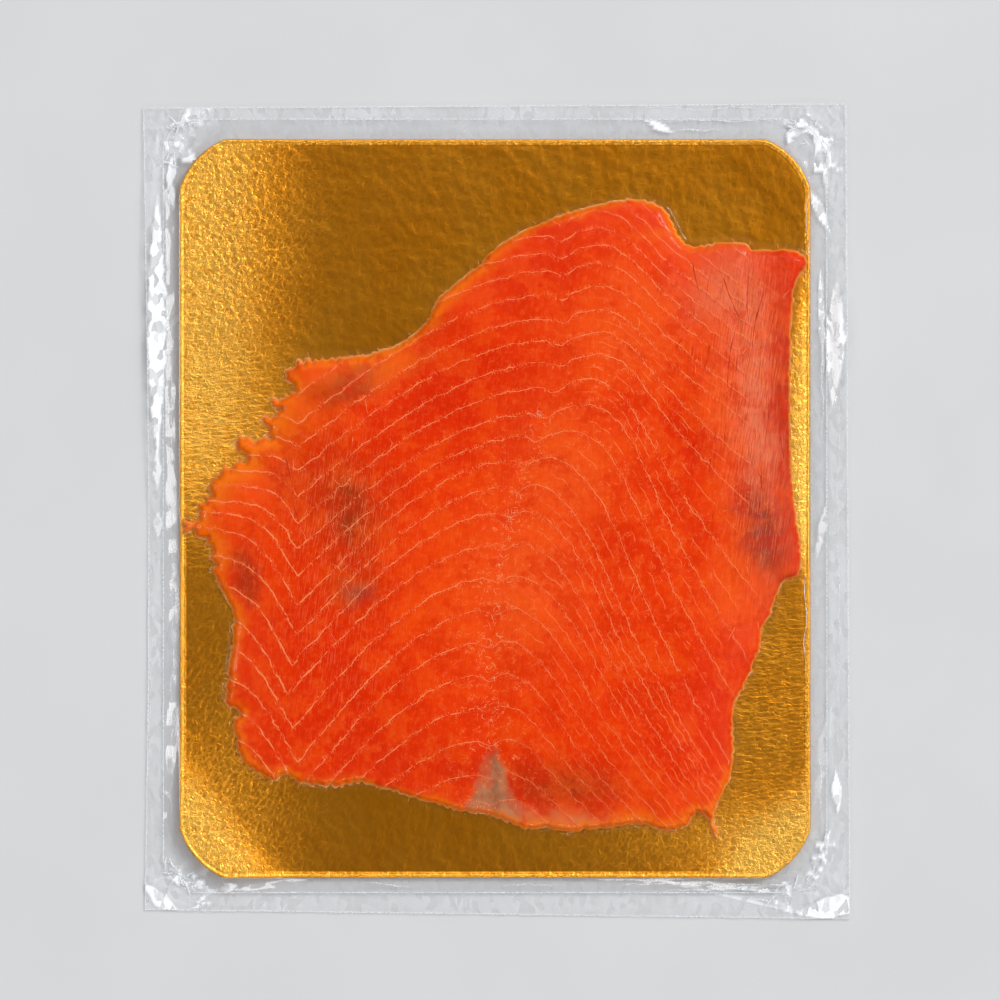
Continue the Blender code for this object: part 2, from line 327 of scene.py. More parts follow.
class Recipe:
    """One material's node tree, with short calls for the nodes that it is made of."""

    def __init__(self, name):
        """Starts an empty material."""
        self.material = bpy.data.materials.new(name)
        self.material.use_nodes = True
        self.tree = self.material.node_tree
        self.tree.nodes.clear()

    def node(self, kind, feeds=None, **settings):
        """Any node of this material."""
        return build_node(self.tree, kind, feeds, **settings)

    def place_mm(self, scale=(1, 1, 1), turn=0.0):
        """Object coordinates in millimetres, turned and then stretched in plan."""
        source = self.node("ShaderNodeTexCoord").outputs["Object"]
        feeds = {"Vector": source, "Angle": math.radians(turn)}
        turned = self.node("ShaderNodeVectorRotate", feeds, rotation_type="Z_AXIS").outputs[0]
        stretch = [share / MM for share in scale]
        return self.node("ShaderNodeMapping", {"Vector": turned, "Scale": stretch}).outputs[0]

    def value(self, name):
        """A number stored on the mesh."""
        return self.node("ShaderNodeAttribute", attribute_name=name).outputs["Fac"]

    def colour(self, name):
        """A colour stored on the mesh."""
        return self.node("ShaderNodeAttribute", attribute_name=name).outputs["Color"]

    def noise(self, place, scale, detail=2.0, roughness=0.5, distortion=0.0):
        """Cloudy noise from 0 to 1, with scale lumps to the millimetre."""
        feeds = {"Vector": place, "Scale": scale, "Detail": detail, "Roughness": roughness}
        feeds["Distortion"] = distortion
        return self.node("ShaderNodeTexNoise", feeds, noise_dimensions="2D").outputs["Fac"]

    def warped(self, place, scale, reach):
        """The place, pushed about by smooth noise."""
        feeds = {"Vector": place, "Scale": scale}
        noise = self.node("ShaderNodeTexNoise", feeds, noise_dimensions="2D")
        feeds = {0: noise.outputs["Color"], 1: (reach, reach, 0), 2: place}
        return self.node("ShaderNodeVectorMath", feeds, operation="MULTIPLY_ADD").outputs[0]

    def cells(self, place, scale, output, feature="F1"):
        """One output of a field of flat cells."""
        feeds = {"Vector": place, "Scale": scale}
        made = self.node("ShaderNodeTexVoronoi", feeds, voronoi_dimensions="2D", feature=feature)
        return made.outputs[output]

    def maths(self, operation, *values):
        """Sums with plain numbers and sockets."""
        return self.node("ShaderNodeMath", dict(enumerate(values)), operation=operation).outputs[0]

    def times(self, first, second):
        """The product of two numbers."""
        return self.maths("MULTIPLY", first, second)

    def remap(self, value, low, high, to_low=0.0, to_high=1.0):
        """Low to high, eased into another range and held beyond its ends."""
        feeds = {"Value": value, "From Min": low, "From Max": high}
        feeds.update({"To Min": to_low, "To Max": to_high})
        return self.node("ShaderNodeMapRange", feeds, interpolation_type="SMOOTHSTEP").outputs[0]

    def mixed(self, share, first, second):
        """A share of the second colour in the first."""
        made = self.node("ShaderNodeMix", {0: share, 6: first, 7: second}, data_type="RGBA")
        return made.outputs[2]

    def bump(self, height, strength, distance):
        """Normals that follow a height, as deep as the distance in metres."""
        feeds = {"Height": height, "Strength": strength, "Distance": distance}
        return self.node("ShaderNodeBump", feeds).outputs[0]

    def shader(self, kind, **feeds):
        """A shader, with its sockets named with _ for a space."""
        feeds = {name.replace("_", " "): value for name, value in feeds.items()}
        return self.node("ShaderNodeBsdf" + kind, feeds).outputs[0]

    def shader_mix(self, share, first, second):
        """A share of the second shader in the first."""
        return self.node("ShaderNodeMixShader", {0: share, 1: first, 2: second}).outputs[0]

    def finish(self, surface):
        """The material, with this surface."""
        self.node("ShaderNodeOutputMaterial", {"Surface": surface})
        return self.material


# ---------------------------------------------------------------- beads along paths

# Half width, waver and waver length of the beads, in millimetres, and their count of sides.
FRINGE_BEADS = (0.15, 0.12, 1.6, 5)
FIBRE_BEADS = (0.12, 0.15, 1.2, 5)
CRACK_BEADS = (0.16, 0.25, 2.2, 5)
CREASE_BEADS = (0.13, 0.18, 2.5, 6)


def spaced(path, step):
    """The same path with points at even steps along it."""
    path = np.asarray(path, float)
    along = np.concatenate(([0], np.cumsum(np.hypot(*np.diff(path, axis=0).T))))
    marks = np.linspace(0, along[-1], max(3, round(along[-1] / step) + 1))
    return np.column_stack([np.interp(marks, along, path[:, axis]) for axis in (0, 1)])


def taper(count, blunt=0.6):
    """Widths that swell from nothing at both ends of a path."""
    return np.maximum(np.sin(math.pi * np.linspace(0, 1, count)), 0.02) ** blunt


def bead_tree(name, material, half_width, waver, waver_length, sides):
    """Geometry Nodes that turn each edge path into a thin bead, as wide as its girth says."""
    tree = bpy.data.node_groups.new(name, "GeometryNodeTree")
    face = tree.interface
    face.new_socket("Paths", in_out="INPUT", socket_type="NodeSocketGeometry")
    sizes = {"Half Width": half_width, "Waver": waver, "Waver Length": waver_length, "Seed": 0.0}
    for label, size in sizes.items():
        face.new_socket(label, in_out="INPUT", socket_type="NodeSocketFloat").default_value = size
    face.new_socket("Sides", in_out="INPUT", socket_type="NodeSocketInt").default_value = sides
    face.new_socket("Beads", in_out="OUTPUT", socket_type="NodeSocketGeometry")

    def node(kind, feeds=None, **settings):
        """The first output of a new node."""
        return build_node(tree, kind, feeds, **settings).outputs[0]

    given = build_node(tree, "NodeGroupInput").outputs
    curve = node("GeometryNodeMeshToCurve", {"Mesh": given["Paths"]})
    rate = node("ShaderNodeMath", {0: 1.0, 1: given["Waver Length"]}, operation="DIVIDE")
    feeds = {"Vector": node("GeometryNodeInputPosition"), "W": given["Seed"], "Scale": rate}
    feeds["Detail"] = 2.0
    noise = build_node(tree, "ShaderNodeTexNoise", feeds, noise_dimensions="4D").outputs["Color"]
    centred = node("ShaderNodeVectorMath", {0: noise, 1: (0.5, 0.5, 0.5)}, operation="SUBTRACT")
    level = node("ShaderNodeVectorMath", {0: centred, 1: (2.0, 2.0, 0.0)}, operation="MULTIPLY")
    push = node("ShaderNodeVectorMath", {0: level, "Scale": given["Waver"]}, operation="SCALE")
    wavy = node("GeometryNodeSetPosition", {"Geometry": curve, "Offset": push})
    girth = node("GeometryNodeInputNamedAttribute", {"Name": "girth"}, data_type="FLOAT")
    width = node("ShaderNodeMath", {0: girth, 1: given["Half Width"]}, operation="MULTIPLY")
    ring = node("GeometryNodeCurvePrimitiveCircle", {"Resolution": given["Sides"], "Radius": 1.0})
    feeds = {"Curve": wavy, "Profile Curve": ring, "Scale": width, "Fill Caps": True}
    bead = node("GeometryNodeCurveToMesh", feeds)
    smooth = node("GeometryNodeSetShadeSmooth", {"Geometry": bead})
    real = node("GeometryNodeRealizeInstances", {"Geometry": smooth})
    dressed = node("GeometryNodeSetMaterial", {"Geometry": real, "Material": material})
    build_node(tree, "NodeGroupOutput", {"Beads": dressed})
    return tree


def make_beads(name, paths, material, sizes, seed):
    """One piece of beads along (x, y, z, girth) paths, with one of the rows of sizes above."""
    half_width, waver, waver_length, sides = sizes
    points = np.vstack([to_frame(x, y, z) for x, y, z, _ in paths])
    girths = np.concatenate([girth for _, _, _, girth in paths])
    edges = []
    first = 0
    for x, _, _, _ in paths:
        edges += [(first + step, first + step + 1) for step in range(len(x) - 1)]
        first += len(x)
    route = bpy.data.meshes.new(name + "_route")
    route.from_pydata(points.tolist(), edges, [])
    route.attributes.new("girth", "FLOAT", "POINT").data.foreach_set("value", girths)
    carrier = bpy.data.objects.new(name + "_route", route)
    bpy.context.scene.collection.objects.link(carrier)
    lengths = (half_width * MM, waver * MM, waver_length * MM)
    tree = bead_tree(name, material, *lengths, sides)
    grown = carrier.modifiers.new("beads", "NODES")
    grown.node_group = tree
    for socket in tree.interface.items_tree:
        if socket.name == "Seed":
            grown[socket.identifier] = float(seed)
    bpy.context.view_layer.update()
    beaded = carrier.evaluated_get(bpy.context.evaluated_depsgraph_get())
    mesh = bpy.data.meshes.new_from_object(beaded)
    carrier.modifiers.remove(grown)
    bpy.data.objects.remove(carrier)
    return add_piece(name, mesh)


# ---------------------------------------------------------------- board


def board_corner(sign_x, sign_y):
    """One corner's arc, from the kink on the upright side to the one on the level side."""
    upright = np.array((HALF_WIDTH, HALF_LENGTH - CORNER_ALONG_Y))
    level = np.array((HALF_WIDTH - CORNER_ALONG_X, HALF_LENGTH))
    chord = level - upright
    inward = np.array((chord[1], -chord[0])) / np.linalg.norm(chord)
    inward *= -np.sign(inward @ upright)
    depth = math.sqrt(CORNER_RADIUS**2 - (np.linalg.norm(chord) / 2) ** 2)
    centre = (upright + level) / 2 + inward * depth
    start = math.atan2(*(upright - centre)[::-1])
    end = math.atan2(*(level - centre)[::-1])
    angles = np.linspace(start, end, 24)
    arc = centre + CORNER_RADIUS * np.column_stack((np.cos(angles), np.sin(angles)))
    return arc * (sign_x, sign_y)


def board_outline():
    """The board's outline, anticlockwise, evenly filled along its straight sides."""
    right, left = board_corner(1, 1), board_corner(-1, 1)[::-1]
    corners = [right, left, board_corner(-1, -1), board_corner(1, -1)[::-1]]
    points = []
    for index, arc in enumerate(corners):
        following = corners[(index + 1) % 4][0]
        count = round(np.linalg.norm(following - arc[-1]) / BOARD_RIM_STEP)
        shares = (np.arange(1, count) / count)[:, None]
        points += [arc, arc[-1] + shares * (following - arc[-1])]
    return np.vstack(points)


def board_face(x, y):
    """Height of the board's face: nearly flat, with its sides and corners pulled by the film."""
    along_left = 0.15 + 0.85 * ease(-30, 40, y) + 0.6 * ease(-60, -90, y)
    left = 1.6 * np.exp(-(x + HALF_WIDTH) / 17.0) * along_left
    from_right = HALF_WIDTH - x
    bent = 0.45 * (1 - 2 * np.exp(-from_right / 2.8)) * np.exp(-((from_right / 16) ** 2))
    right = bent * blob(x, y, (HALF_WIDTH, 28), (40, 48), 0, 3)
    foot = 0.9 * np.exp(-(y + HALF_LENGTH) / 9.0) * (0.25 + ease(20, 75, x) + ease(-55, -85, x))
    reach = np.abs(x) / HALF_WIDTH + np.abs(y) / HALF_LENGTH
    corner = 0.9 * ease(1.62, 1.86, reach) * np.where(y < 0, 1.0, 0.2)
    waves = 0.05 * swell(x, y, 60, 11) + 0.03 * swell(x, y, 16, 12)
    return BOARD_FACE + left + right + foot + corner + waves


# Rows of the foil-wrapped rim: distance in from the edge, and height against the face.
BOARD_RIM = (
    (0.0, -0.42), (0.06, -0.2), (0.18, -0.02), (0.36, 0.09), (0.58, 0.15), (0.8, 0.14),
    (1.0, 0.05), (1.2, -0.05), (1.5, -0.03), (2.1, 0.0),
)


def make_board(material):
    """Foil-faced board: a rounded rim row by row, then an evenly meshed face."""
    outline = board_outline()
    normals = outward_normals(outline, clockwise=False)
    rows = []
    for inset, lift in BOARD_RIM:
        row = outline - normals * inset
        rows.append(to_frame(row[:, 0], row[:, 1], board_face(row[:, 0], row[:, 1]) + lift))
    count = len(outline)
    foot = to_frame(outline[:, 0], outline[:, 1], np.full(count, BOARD_UNDER))
    inner = outline - normals * BOARD_RIM[-1][0]
    x, y = even_points((-HALF_WIDTH, -HALF_LENGTH), (HALF_WIDTH, HALF_LENGTH), BOARD_MESH_STEP)
    clear = is_inside(x, y, inner)
    clear[clear] = distance_to(x[clear], y[clear], inner) > BOARD_RIM_STEP
    plan, triangles = triangulate(inner, x[clear], y[clear])
    face = to_frame(plan[:, 0], plan[:, 1], board_face(plan[:, 0], plan[:, 1]))
    points = np.vstack([foot, *rows[:-1], face])
    faces = [list(range(count))[::-1]]
    for row in range(len(BOARD_RIM)):
        faces += band(row * count, (row + 1) * count, count)
    start = len(BOARD_RIM) * count
    faces += [[start + corner for corner in triangle] for triangle in triangles]
    board = mesh_object("gold_foil_board", points, faces, material)
    board.data.set_sharp_from_angle(angle=math.radians(70))
    x, y = ((points[:, axis] - BOARD_CENTRE[axis]) / MM for axis in (0, 1))
    creased = board_creasing(x, y)
    # The rim counts as creased, which also gives it the painted yellow highlight.
    creased[:start] = np.maximum(creased[:start], RIM_CREASING_AND_PAINTED_HIGHLIGHT)
    give_values(board, "creased", creased)
    give_values(board, "ripple", board_ripple(x, y))
    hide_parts("gold_board")
    return board


def board_creasing(x, y):
    """How deeply the foil's grain is creased: most along the left side and the foot's ends. The
    same share also sets where the foil's ridges get their painted yellow highlight.
    """
    along_left = 0.35 + 0.65 * ease(-35, 35, y) + 0.12 * ease(-60, -90, y)
    left = 0.85 * ease(58, 8, x + HALF_WIDTH) * along_left
    right = 0.34 * ease(45, 20, HALF_WIDTH - x) * ease(55, -10, y)
    corners = 0.18 * blob(x, y, (-86, -100), (30, 26)) + 0.45 * blob(x, y, (66, -106), (40, 16))
    strip = 0.8 * blob(x, y, (HALF_WIDTH, 28), (8, 48), 0, 3)
    patch = 0.4 * ease(1.62, 1.8, np.abs(x) / HALF_WIDTH + np.abs(y) / HALF_LENGTH) * (y < 0)
    return np.clip(left + right + corners + strip + patch, 0, 1.2)


def board_ripple(x, y):
    """Where the grain lies level in long ripples, and does not crumple every way."""
    return np.clip(blob(x, y, (-88, 12), (45, 42)) + blob(x, y, (90, -60), (40, 50)), 0, 1)


def gold_foil():
    """Embossed gold foil: a mirror-like metal, broken up by fine creased grain, with a painted
    yellow highlight on the ridges of that grain.
    """
    recipe = Recipe("gold_foil")
    place = recipe.place_mm()
    creased = recipe.value("creased")
    crossing = recipe.noise(recipe.place_mm((1.0, 0.6, 1), turn=38), 0.8, 3.5, 0.6, 0.8)
    lying = recipe.noise(recipe.place_mm((0.42, 1.2, 1), turn=-6), 0.8, 3.5, 0.6, 1.0)
    grain = recipe.mixed(recipe.value("ripple"), crossing, lying)
    folds = recipe.cells(recipe.warped(place, 0.7, 1.6), 0.5, "Distance", "DISTANCE_TO_EDGE")
    folds = recipe.times(recipe.remap(folds, 0.0, 0.12, 0.0, 0.09), creased)
    relief = recipe.maths("ADD", grain, folds)
    relief = recipe.times(relief, recipe.remap(creased, 0.0, 1.0, 0.15, 1.0))
    soft = recipe.noise(place, 0.22, 1)
    tarnish = recipe.remap(recipe.noise(place, 0.05, 2), 0.3, 0.7)
    colour = recipe.mixed(tarnish, (0.95, 0.32, 0.010, 1), (0.97, 0.35, 0.015, 1))
    # Painted highlight: the ridges of the creased grain are yellowed, standing in for the foil's
    # bright glints.
    painted_ridge_highlight = recipe.times(recipe.remap(relief, 0.3, 0.6, 0.25, 1.0), creased)
    return recipe.finish(recipe.shader(
        "Principled",
        Base_Color=recipe.mixed(painted_ridge_highlight, colour, (0.99, 0.53, 0.085, 1)),
        Metallic=1.0,
        Roughness=recipe.remap(creased, 0.0, 1.0, 0.285, 0.32),
        Normal=recipe.bump(recipe.maths("MULTIPLY_ADD", soft, 0.35, relief), 1.0, 0.0004),
    ))


# ---------------------------------------------------------------- fish


def fish_outline():
    """The fish's ragged rim, clockwise."""
    knots = [*BROAD_END, *SHOULDER, *RIGHT_SIDE, *SLIVER, *FOOT, *LEFT_SIDE]
    knots += [TORN_POINT, *TORN_TEETH, *NECK]
    loop = rounded_path(knots, RIM_STEP)
    x, y = loop.T
    torn = ease(-52, -64, x) * ease(-30, -12, y)
    ragged = 0.3 + 0.3 * ease(-10, -60, x) + 0.15 * ease(-70, -90, y) + 0.3 * torn
    nibble = 0.5 - 0.9 * np.abs(swell(x, y, 2.4, 21)) + 0.7 * swell(x, y, 1.3, 22)
    turns = np.arange(len(loop)) * RIM_STEP / TOOTH_PITCH + 0.45 * swell(x, y, 7, 23)
    phase = turns % 1
    tooth = np.where(phase < 0.7, phase / 0.7, (1 - phase) / 0.3)
    reach = ragged * nibble + TOOTH_DEPTH * torn * (tooth - 0.4)
    return loop + outward_normals(loop, clockwise=True) * reach[:, None]


def flake_row(row, x):
    """Height in plan of one line of fat between flakes: down to the belly fold, up over the
    seam and crest, and down the right side."""
    seam_x = np.interp(row, (4, 6, 8, 10, 12, 14, 16), (21, 20.5, 16, 10, 5, 1.5, -1.5))
    crest_y = np.interp(
        row,
        (-4, 0, 2, 4, 6, 8, 12, 16, 20, 24),
        (110, 89, 78, 63, 49, 33, -0.5, -41.5, -83, -118),
    )
    crest_x = seam_x + np.interp(row, (7, 8, 9, 10, 11), (11.5, 13.2, 11.0, 6.7, 3.0))
    shoulder = np.interp(row, (8, 10), (2.5, 0.6))
    fold_x = np.interp(row, (11, 13, 15), (-62.5, -65.5, -62.5))
    fold_y = np.interp(
        row,
        (-3, 3, 5, 7, 9, 11, 13, 15, 24),
        (82, 27, 12, -4.5, -21, -40, -58.5, -80.5, -162),
    )
    climb = np.sin(0.5 * math.pi * np.clip((x - fold_x) / (seam_x - fold_x), 0, 1))
    left = fold_y + (crest_y - shoulder - fold_y) * climb
    flare = np.interp(row, (3, 5, 8, 10, 14), (2.5, 5, 15, 25, 29))
    spread = np.interp(row, (4, 7, 10, 14), (4, 5, 10, 11))
    beyond = fold_y + flare * (1 - np.exp(-(np.maximum(fold_x - x, 0) / spread) ** 1.3))
    left = np.where(x < fold_x, beyond, left)
    saddle = crest_y - shoulder * (1 - ease(0, 1, (x - seam_x) / (crest_x - seam_x)))
    slope = np.interp(row, (4, 6, 8, 10, 12, 14, 17, 20), (1.05, 1.4, 2.3, 2.5, 2.2, 1.9, 1.5, 1.0))
    ramp = np.interp(row, (4, 8, 10, 14, 18), (12.7, 19.0, 25.0, 25.0, 14.0))
    run = np.maximum(x - crest_x, 0)
    fall = np.where(run < ramp, slope * run * run / (2 * ramp), slope * (run - ramp / 2))
    easing = np.maximum(run - ramp - 4, 0)
    fall -= 0.35 * slope * easing * easing / (easing + 16)
    notch = 1.9 * np.exp(-(((x - seam_x) / 2.9) ** 2))
    return np.where(x < seam_x, left, saddle - fall) - notch


FLAKE_ROWS = np.arange(-3, 25)


def flake_count(x, y):
    """Which flake each point lies in, as a number that grows by one from line to line."""
    lines = np.stack([flake_row(row, x) for row in FLAKE_ROWS])
    above = np.clip(np.sum(lines > y, axis=0) - 1, 0, len(FLAKE_ROWS) - 2)
    upper = np.take_along_axis(lines, above[None], 0)[0]
    lower = np.take_along_axis(lines, above[None] + 1, 0)[0]
    return FLAKE_ROWS[above] + (upper - y) / (upper - lower)


def flake_pitch(x, y, step=0.4):
    """Distance between neighbouring lines of fat at each point, in millimetres."""
    across = (flake_count(x + step, y) - flake_count(x - step, y)) / (2 * step)
    along = (flake_count(x, y + step) - flake_count(x, y - step)) / (2 * step)
    return 1 / np.maximum(np.hypot(across, along), 0.03)


def seam_offset(x, y):
    """Distance to the right of the seam that runs down the fish."""
    seam = np.interp(
        y,
        (-80, -40, -20, 0, 16, 33, 49, 62),
        (-1.7, -1.5, 1.5, 4.7, 10.1, 16.1, 20.6, 21.2),
    )
    return x - seam


def flesh_height(x, y, inward):
    """Height of the flesh's top: thin torn rim, rounded cut rim, soft seam and slow swells."""
    rightward = 0.5 + x / (2 * HALF_WIDTH)
    shelf = 1 - (1 - np.clip(inward / 1.5, 0, 1)) ** 2
    crown = 1 - (1 - np.clip(inward / 30, 0, 1)) ** 2
    rim = (0.38 + 0.12 * rightward) * shelf + (0.62 - 0.12 * rightward) * crown
    seam = 0.45 * np.exp(-((seam_offset(x, y) / 4.5) ** 2)) * ease(70, 30, y)
    pulled = 0.32 * swell(x + 0.12 * y, y * 0.14, 3.6, 33) * blob(x, y, (80, 36), (16, 46), 0, 2)
    full = FLESH_DEPTH * (0.9 + 0.05 * swell(x, y, 34, 31)) + 0.12 * swell(x, y, 9, 32)
    full = full - seam + pulled
    return board_face(x, y) + FISH_RIM_HEIGHT + (full - FISH_RIM_HEIGHT) * rim


def flake_relief(count, pitch, inward):
    """Each flake swells a little between its lines of fat."""
    phase = count - np.floor(count)
    bulge = np.sin(math.pi * phase) ** 0.6 - 0.6
    return 0.11 * bulge * np.clip(pitch / 7, 0.4, 1.2) * ease(0, 3, inward)


# The flesh's tones, and the areas that each tone takes: middle, radii, turn and strength.
FLESH_TONES = {
    "salmon": "E63A05",
    "scarlet": "DA2903",
    "orange": "EE4D0F",
    "coral": "F05A26",
    "painted_sheen": "E0786A",
    # A pale pink for painted sheen, where the film's reflection lies over the flesh.
    "painted_rim_glow": "F07A12",
    # An orange for the painted glow where light shines through the thin rim.
    "brick": "B83010",
    "brown": "8A3A20",
    "bruise": "7A4650",
    "fatty": "D08466",
}
FLESH_AREAS = (
    ("scarlet", (-14, 36), (30, 18), 20, 0.9),
    ("scarlet", (16, 74), (17, 9), 10, 0.8),
    ("coral", (42, 54), (24, 14), -20, 0.7),
    ("coral", (22, 14), (18, 24), 10, 0.7),
    ("coral", (8, -24), (21, 24), 0, 0.8),
    ("orange", (-16, -26), (15, 17), 0, 0.7),
    # Painted glow at the torn teeth, from light shining through the thin rim.
    ("painted_rim_glow", (-68, 28), (15, 13), 40, 0.5),
    ("orange", (-82, 2), (18, 15), 0, 0.8),
    # Painted glow along the neck and the shoulder, from light shining through the thin rim.
    ("painted_rim_glow", (-40, 44), (20, 5), 14, 0.6),
    ("painted_rim_glow", (70, 86), (22, 3), -3, 0.7),
    ("brick", (-64, 8), (8, 9), 0, 0.6),
    ("brick", (-48, 0), (14, 18), 10, 0.7),
    ("brown", (-46, 0), (6, 12), 8, 0.75),
    ("brick", (-45, -26), (8, 9), 10, 0.7),
    ("bruise", (-45, -27), (4, 4), 0, 0.7),
    ("brown", (-79, -22), (4, 7), 12, 0.8),
    ("brown", (-47, 38), (11, 5), 14, 0.6),
    ("scarlet", (-50, -44), (22, 10), -20, 0.6),
    ("scarlet", (-50, -64), (24, 16), -20, 0.8),
    ("scarlet", (-12, -80), (40, 6), -4, 0.7),
    ("brick", (18, -88), (22, 8), -8, 0.8),
    ("brown", (25, -88), (12, 4.5), 4, 0.5),
    ("fatty", (22, -99), (18, 3), -2, 0.8),
    ("orange", (48, -93), (12, 6), 0, 0.6),
    ("scarlet", (60, -76), (14, 12), 0, 0.6),
    ("scarlet", (38, -14), (10, 8), 0, 0.75),
    ("scarlet", (62, 22), (9, 12), 12, 0.85),
    ("scarlet", (68, -56), (12, 13), 0, 0.8),
    # Painted sheen: these four areas, at the upper right and down the right side, stand for the
    # film's pale pink reflection over the flesh.
    ("coral", (46, 70), (14, 7), -35, 0.8),
    ("painted_sheen", (72, 68), (12, 11), 10, 0.8),
    ("coral", (73, 30), (7, 30), 4, 0.8),
    ("painted_sheen", (84, 32), (9, 42), 4, 0.9),
    ("brick", (85, -10), (8, 17), 13, 0.8),
    ("bruise", (85, -9), (6, 13), 13, 0.9),
    ("coral", (78, -26), (13, 16), 12, 0.7),
    ("brick", (91.5, 36), (4.2, 44), 0, 0.9),
)
TRIANGLE = ((-0.5, -76), (-10, -96.5), (9.5, -99))


def flesh_colours(x, y, inward):
    """The flesh's colour at each vertex, before its lines and grain, with painted sheen at the
    upper right and down the right side, and a painted glow along the thin rim.
    """
    shift_x = x + 1.6 * swell(x, y, 9, 41) + 0.6 * swell(x, y, 3, 42)
    shift_y = y + 1.6 * swell(x, y, 9, 43) + 0.6 * swell(x, y, 3, 44)
    colours = np.tile(shade(FLESH_TONES["salmon"]), (len(x), 1))
    for tone, centre, radii, turn, strength in FLESH_AREAS:
        share = strength * blob(shift_x, shift_y, centre, radii, turn, 1.2)
        colours += share[:, None] * (shade(FLESH_TONES[tone]) - colours)
    grey = is_inside(shift_x, shift_y, np.array(TRIANGLE)).astype(float)
    near = distance_to(shift_x, shift_y, TRIANGLE)
    grey = np.where(grey > 0, 0.55 + 0.45 * ease(0, 1.6, near), 0.55 * ease(1.6, 0, near))
    stripe = np.exp(-(((shift_x + 0.5) / 1.3) ** 2)) + 0.6 * np.exp(-(((shift_y + 91) / 1.6) ** 2))
    tones = shade("AE8A7C") * (1 - 0.35 * np.clip(stripe, 0, 1))[:, None]
    colours += (0.85 * grey)[:, None] * (tones - colours)
    # Painted glow: a band of orange along the thin rim at the left and the foot, standing in for
    # light shining through the thin flesh.
    left_rim = ease(85, 40, x) + ease(-70, -90, y) * ease(20, 45, x)
    reach = 1.9 + 0.9 * ease(-60, -85, x) + 1.0 * swell(x, y, 14, 45) + 0.5 * swell(x, y, 4, 46)
    reach += 2.4 * blob(x, y, (-8, 68), (26, 18)) + 3.4 * blob(x, y, (-80, 15), (22, 34))
    reach += 2.6 * blob(x, y, (48, -100), (26, 12))
    painted_rim_glow = np.clip(left_rim, 0, 1) * np.exp(-((inward / np.maximum(reach, 0.8)) ** 3))
    colours += (0.85 * painted_rim_glow)[:, None] * (shade("F27C0C") - colours)
    return colours * (1.0, 0.88, 0.52)


def make_flesh(outline, material):
    """The fish: a finely meshed top over a flat underside."""
    normals = outward_normals(outline, clockwise=True)
    row = outline - normals * FISH_ROW_INSET
    row = row[distance_to(*row.T, outline) > FISH_ROW_CLEAR]
    x, y = even_points(outline.min(0), outline.max(0), FISH_MESH_STEP)
    inner = is_inside(x, y, outline)
    x, y = x[inner], y[inner]
    deep = distance_to(x, y, outline) > FISH_MESH_CLEAR
    x = np.concatenate((row[:, 0], x[deep]))
    y = np.concatenate((row[:, 1], y[deep]))
    plan, triangles = triangulate(outline, x, y)
    x, y = plan.T
    inward = distance_to(x, y, outline)
    count = flake_count(x, y)
    pitch = flake_pitch(x, y)
    height = flesh_height(x, y, inward) + flake_relief(count, pitch, inward)
    rim = len(outline)
    under = to_frame(*outline.T, board_face(*outline.T) + FISH_LIFT)
    points = np.vstack((to_frame(x, y, height), under))
    base = len(x)
    faces = [list(triangle) for triangle in triangles] + band(0, base, rim)
    faces.append([base + index for index in range(rim)])
    flesh = mesh_object("salmon_flesh", points, faces, material)
    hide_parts("salmon")
    fat, split, mottle = flake_strengths(x, y, count)
    bold = 0.75 + 0.55 * ease(-52, -66, x) + 0.2 * ease(0, -40, y) * ease(20, -20, x)
    strand = strand_strength(x, y)
    inward[:rim] = 0.0
    values = {"flake": count, "pitch": pitch, "inward": inward, "fat": fat, "split": split}
    values.update({"mottle": mottle, "strand": strand, "bold": bold})
    for name, value in values.items():
        give_values(flesh, name, np.concatenate((value, value[:rim])))
    tints = flesh_colours(x, y, inward)
    give_colours(flesh, "tint", np.vstack((tints, tints[:rim])))
    return flesh


def flake_strengths(x, y, count):
    """How strongly the main lines, the lines between them and the seam's flecks show."""
    right = seam_offset(x, y)
    fat = 0.9 - 0.25 * ease(55, 75, x) - 0.45 * ease(78, 86, x)
    fat *= 1 - 0.35 * np.exp(-((right / 7) ** 2)) * ease(40, 0, y)
    fat *= 1 - 0.35 * ease(8, 16, count) * ease(0, 14, right)
    split = ease(6, 16, right) * ease(1, 6, count) * ease(21, 14, count) * ease(84, 70, x)
    mottle = np.exp(-((right / 12) ** 2)) * ease(34, 5, y)
    mottle += 0.55 * blob(x, y, (48, -20), (22, 38)) + 0.5 * blob(x, y, (38, 42), (18, 26))
    mottle += 0.35 * blob(x, y, (80, 30), (10, 50)) + 0.2
    return fat, 0.5 * split, np.clip(mottle, 0, 1)


def strand_strength(x, y):
    """Where loose strands of muscle show: down the belly fold, in the bruises and at the right."""
    belly = blob(x, y, (-50, -22), (18, 48), 0, 2)
    bruise = blob(x, y, (-47, 0), (13, 20)) + blob(x, y, (-79, -22), (5, 9))
    bruise += blob(x, y, (86, -10), (9, 20))
    strip = blob(x, y, (82, 40), (12, 50))
    return np.clip(0.12 + 0.35 * belly + 0.4 * bruise + 0.9 * strip, 0, 1)


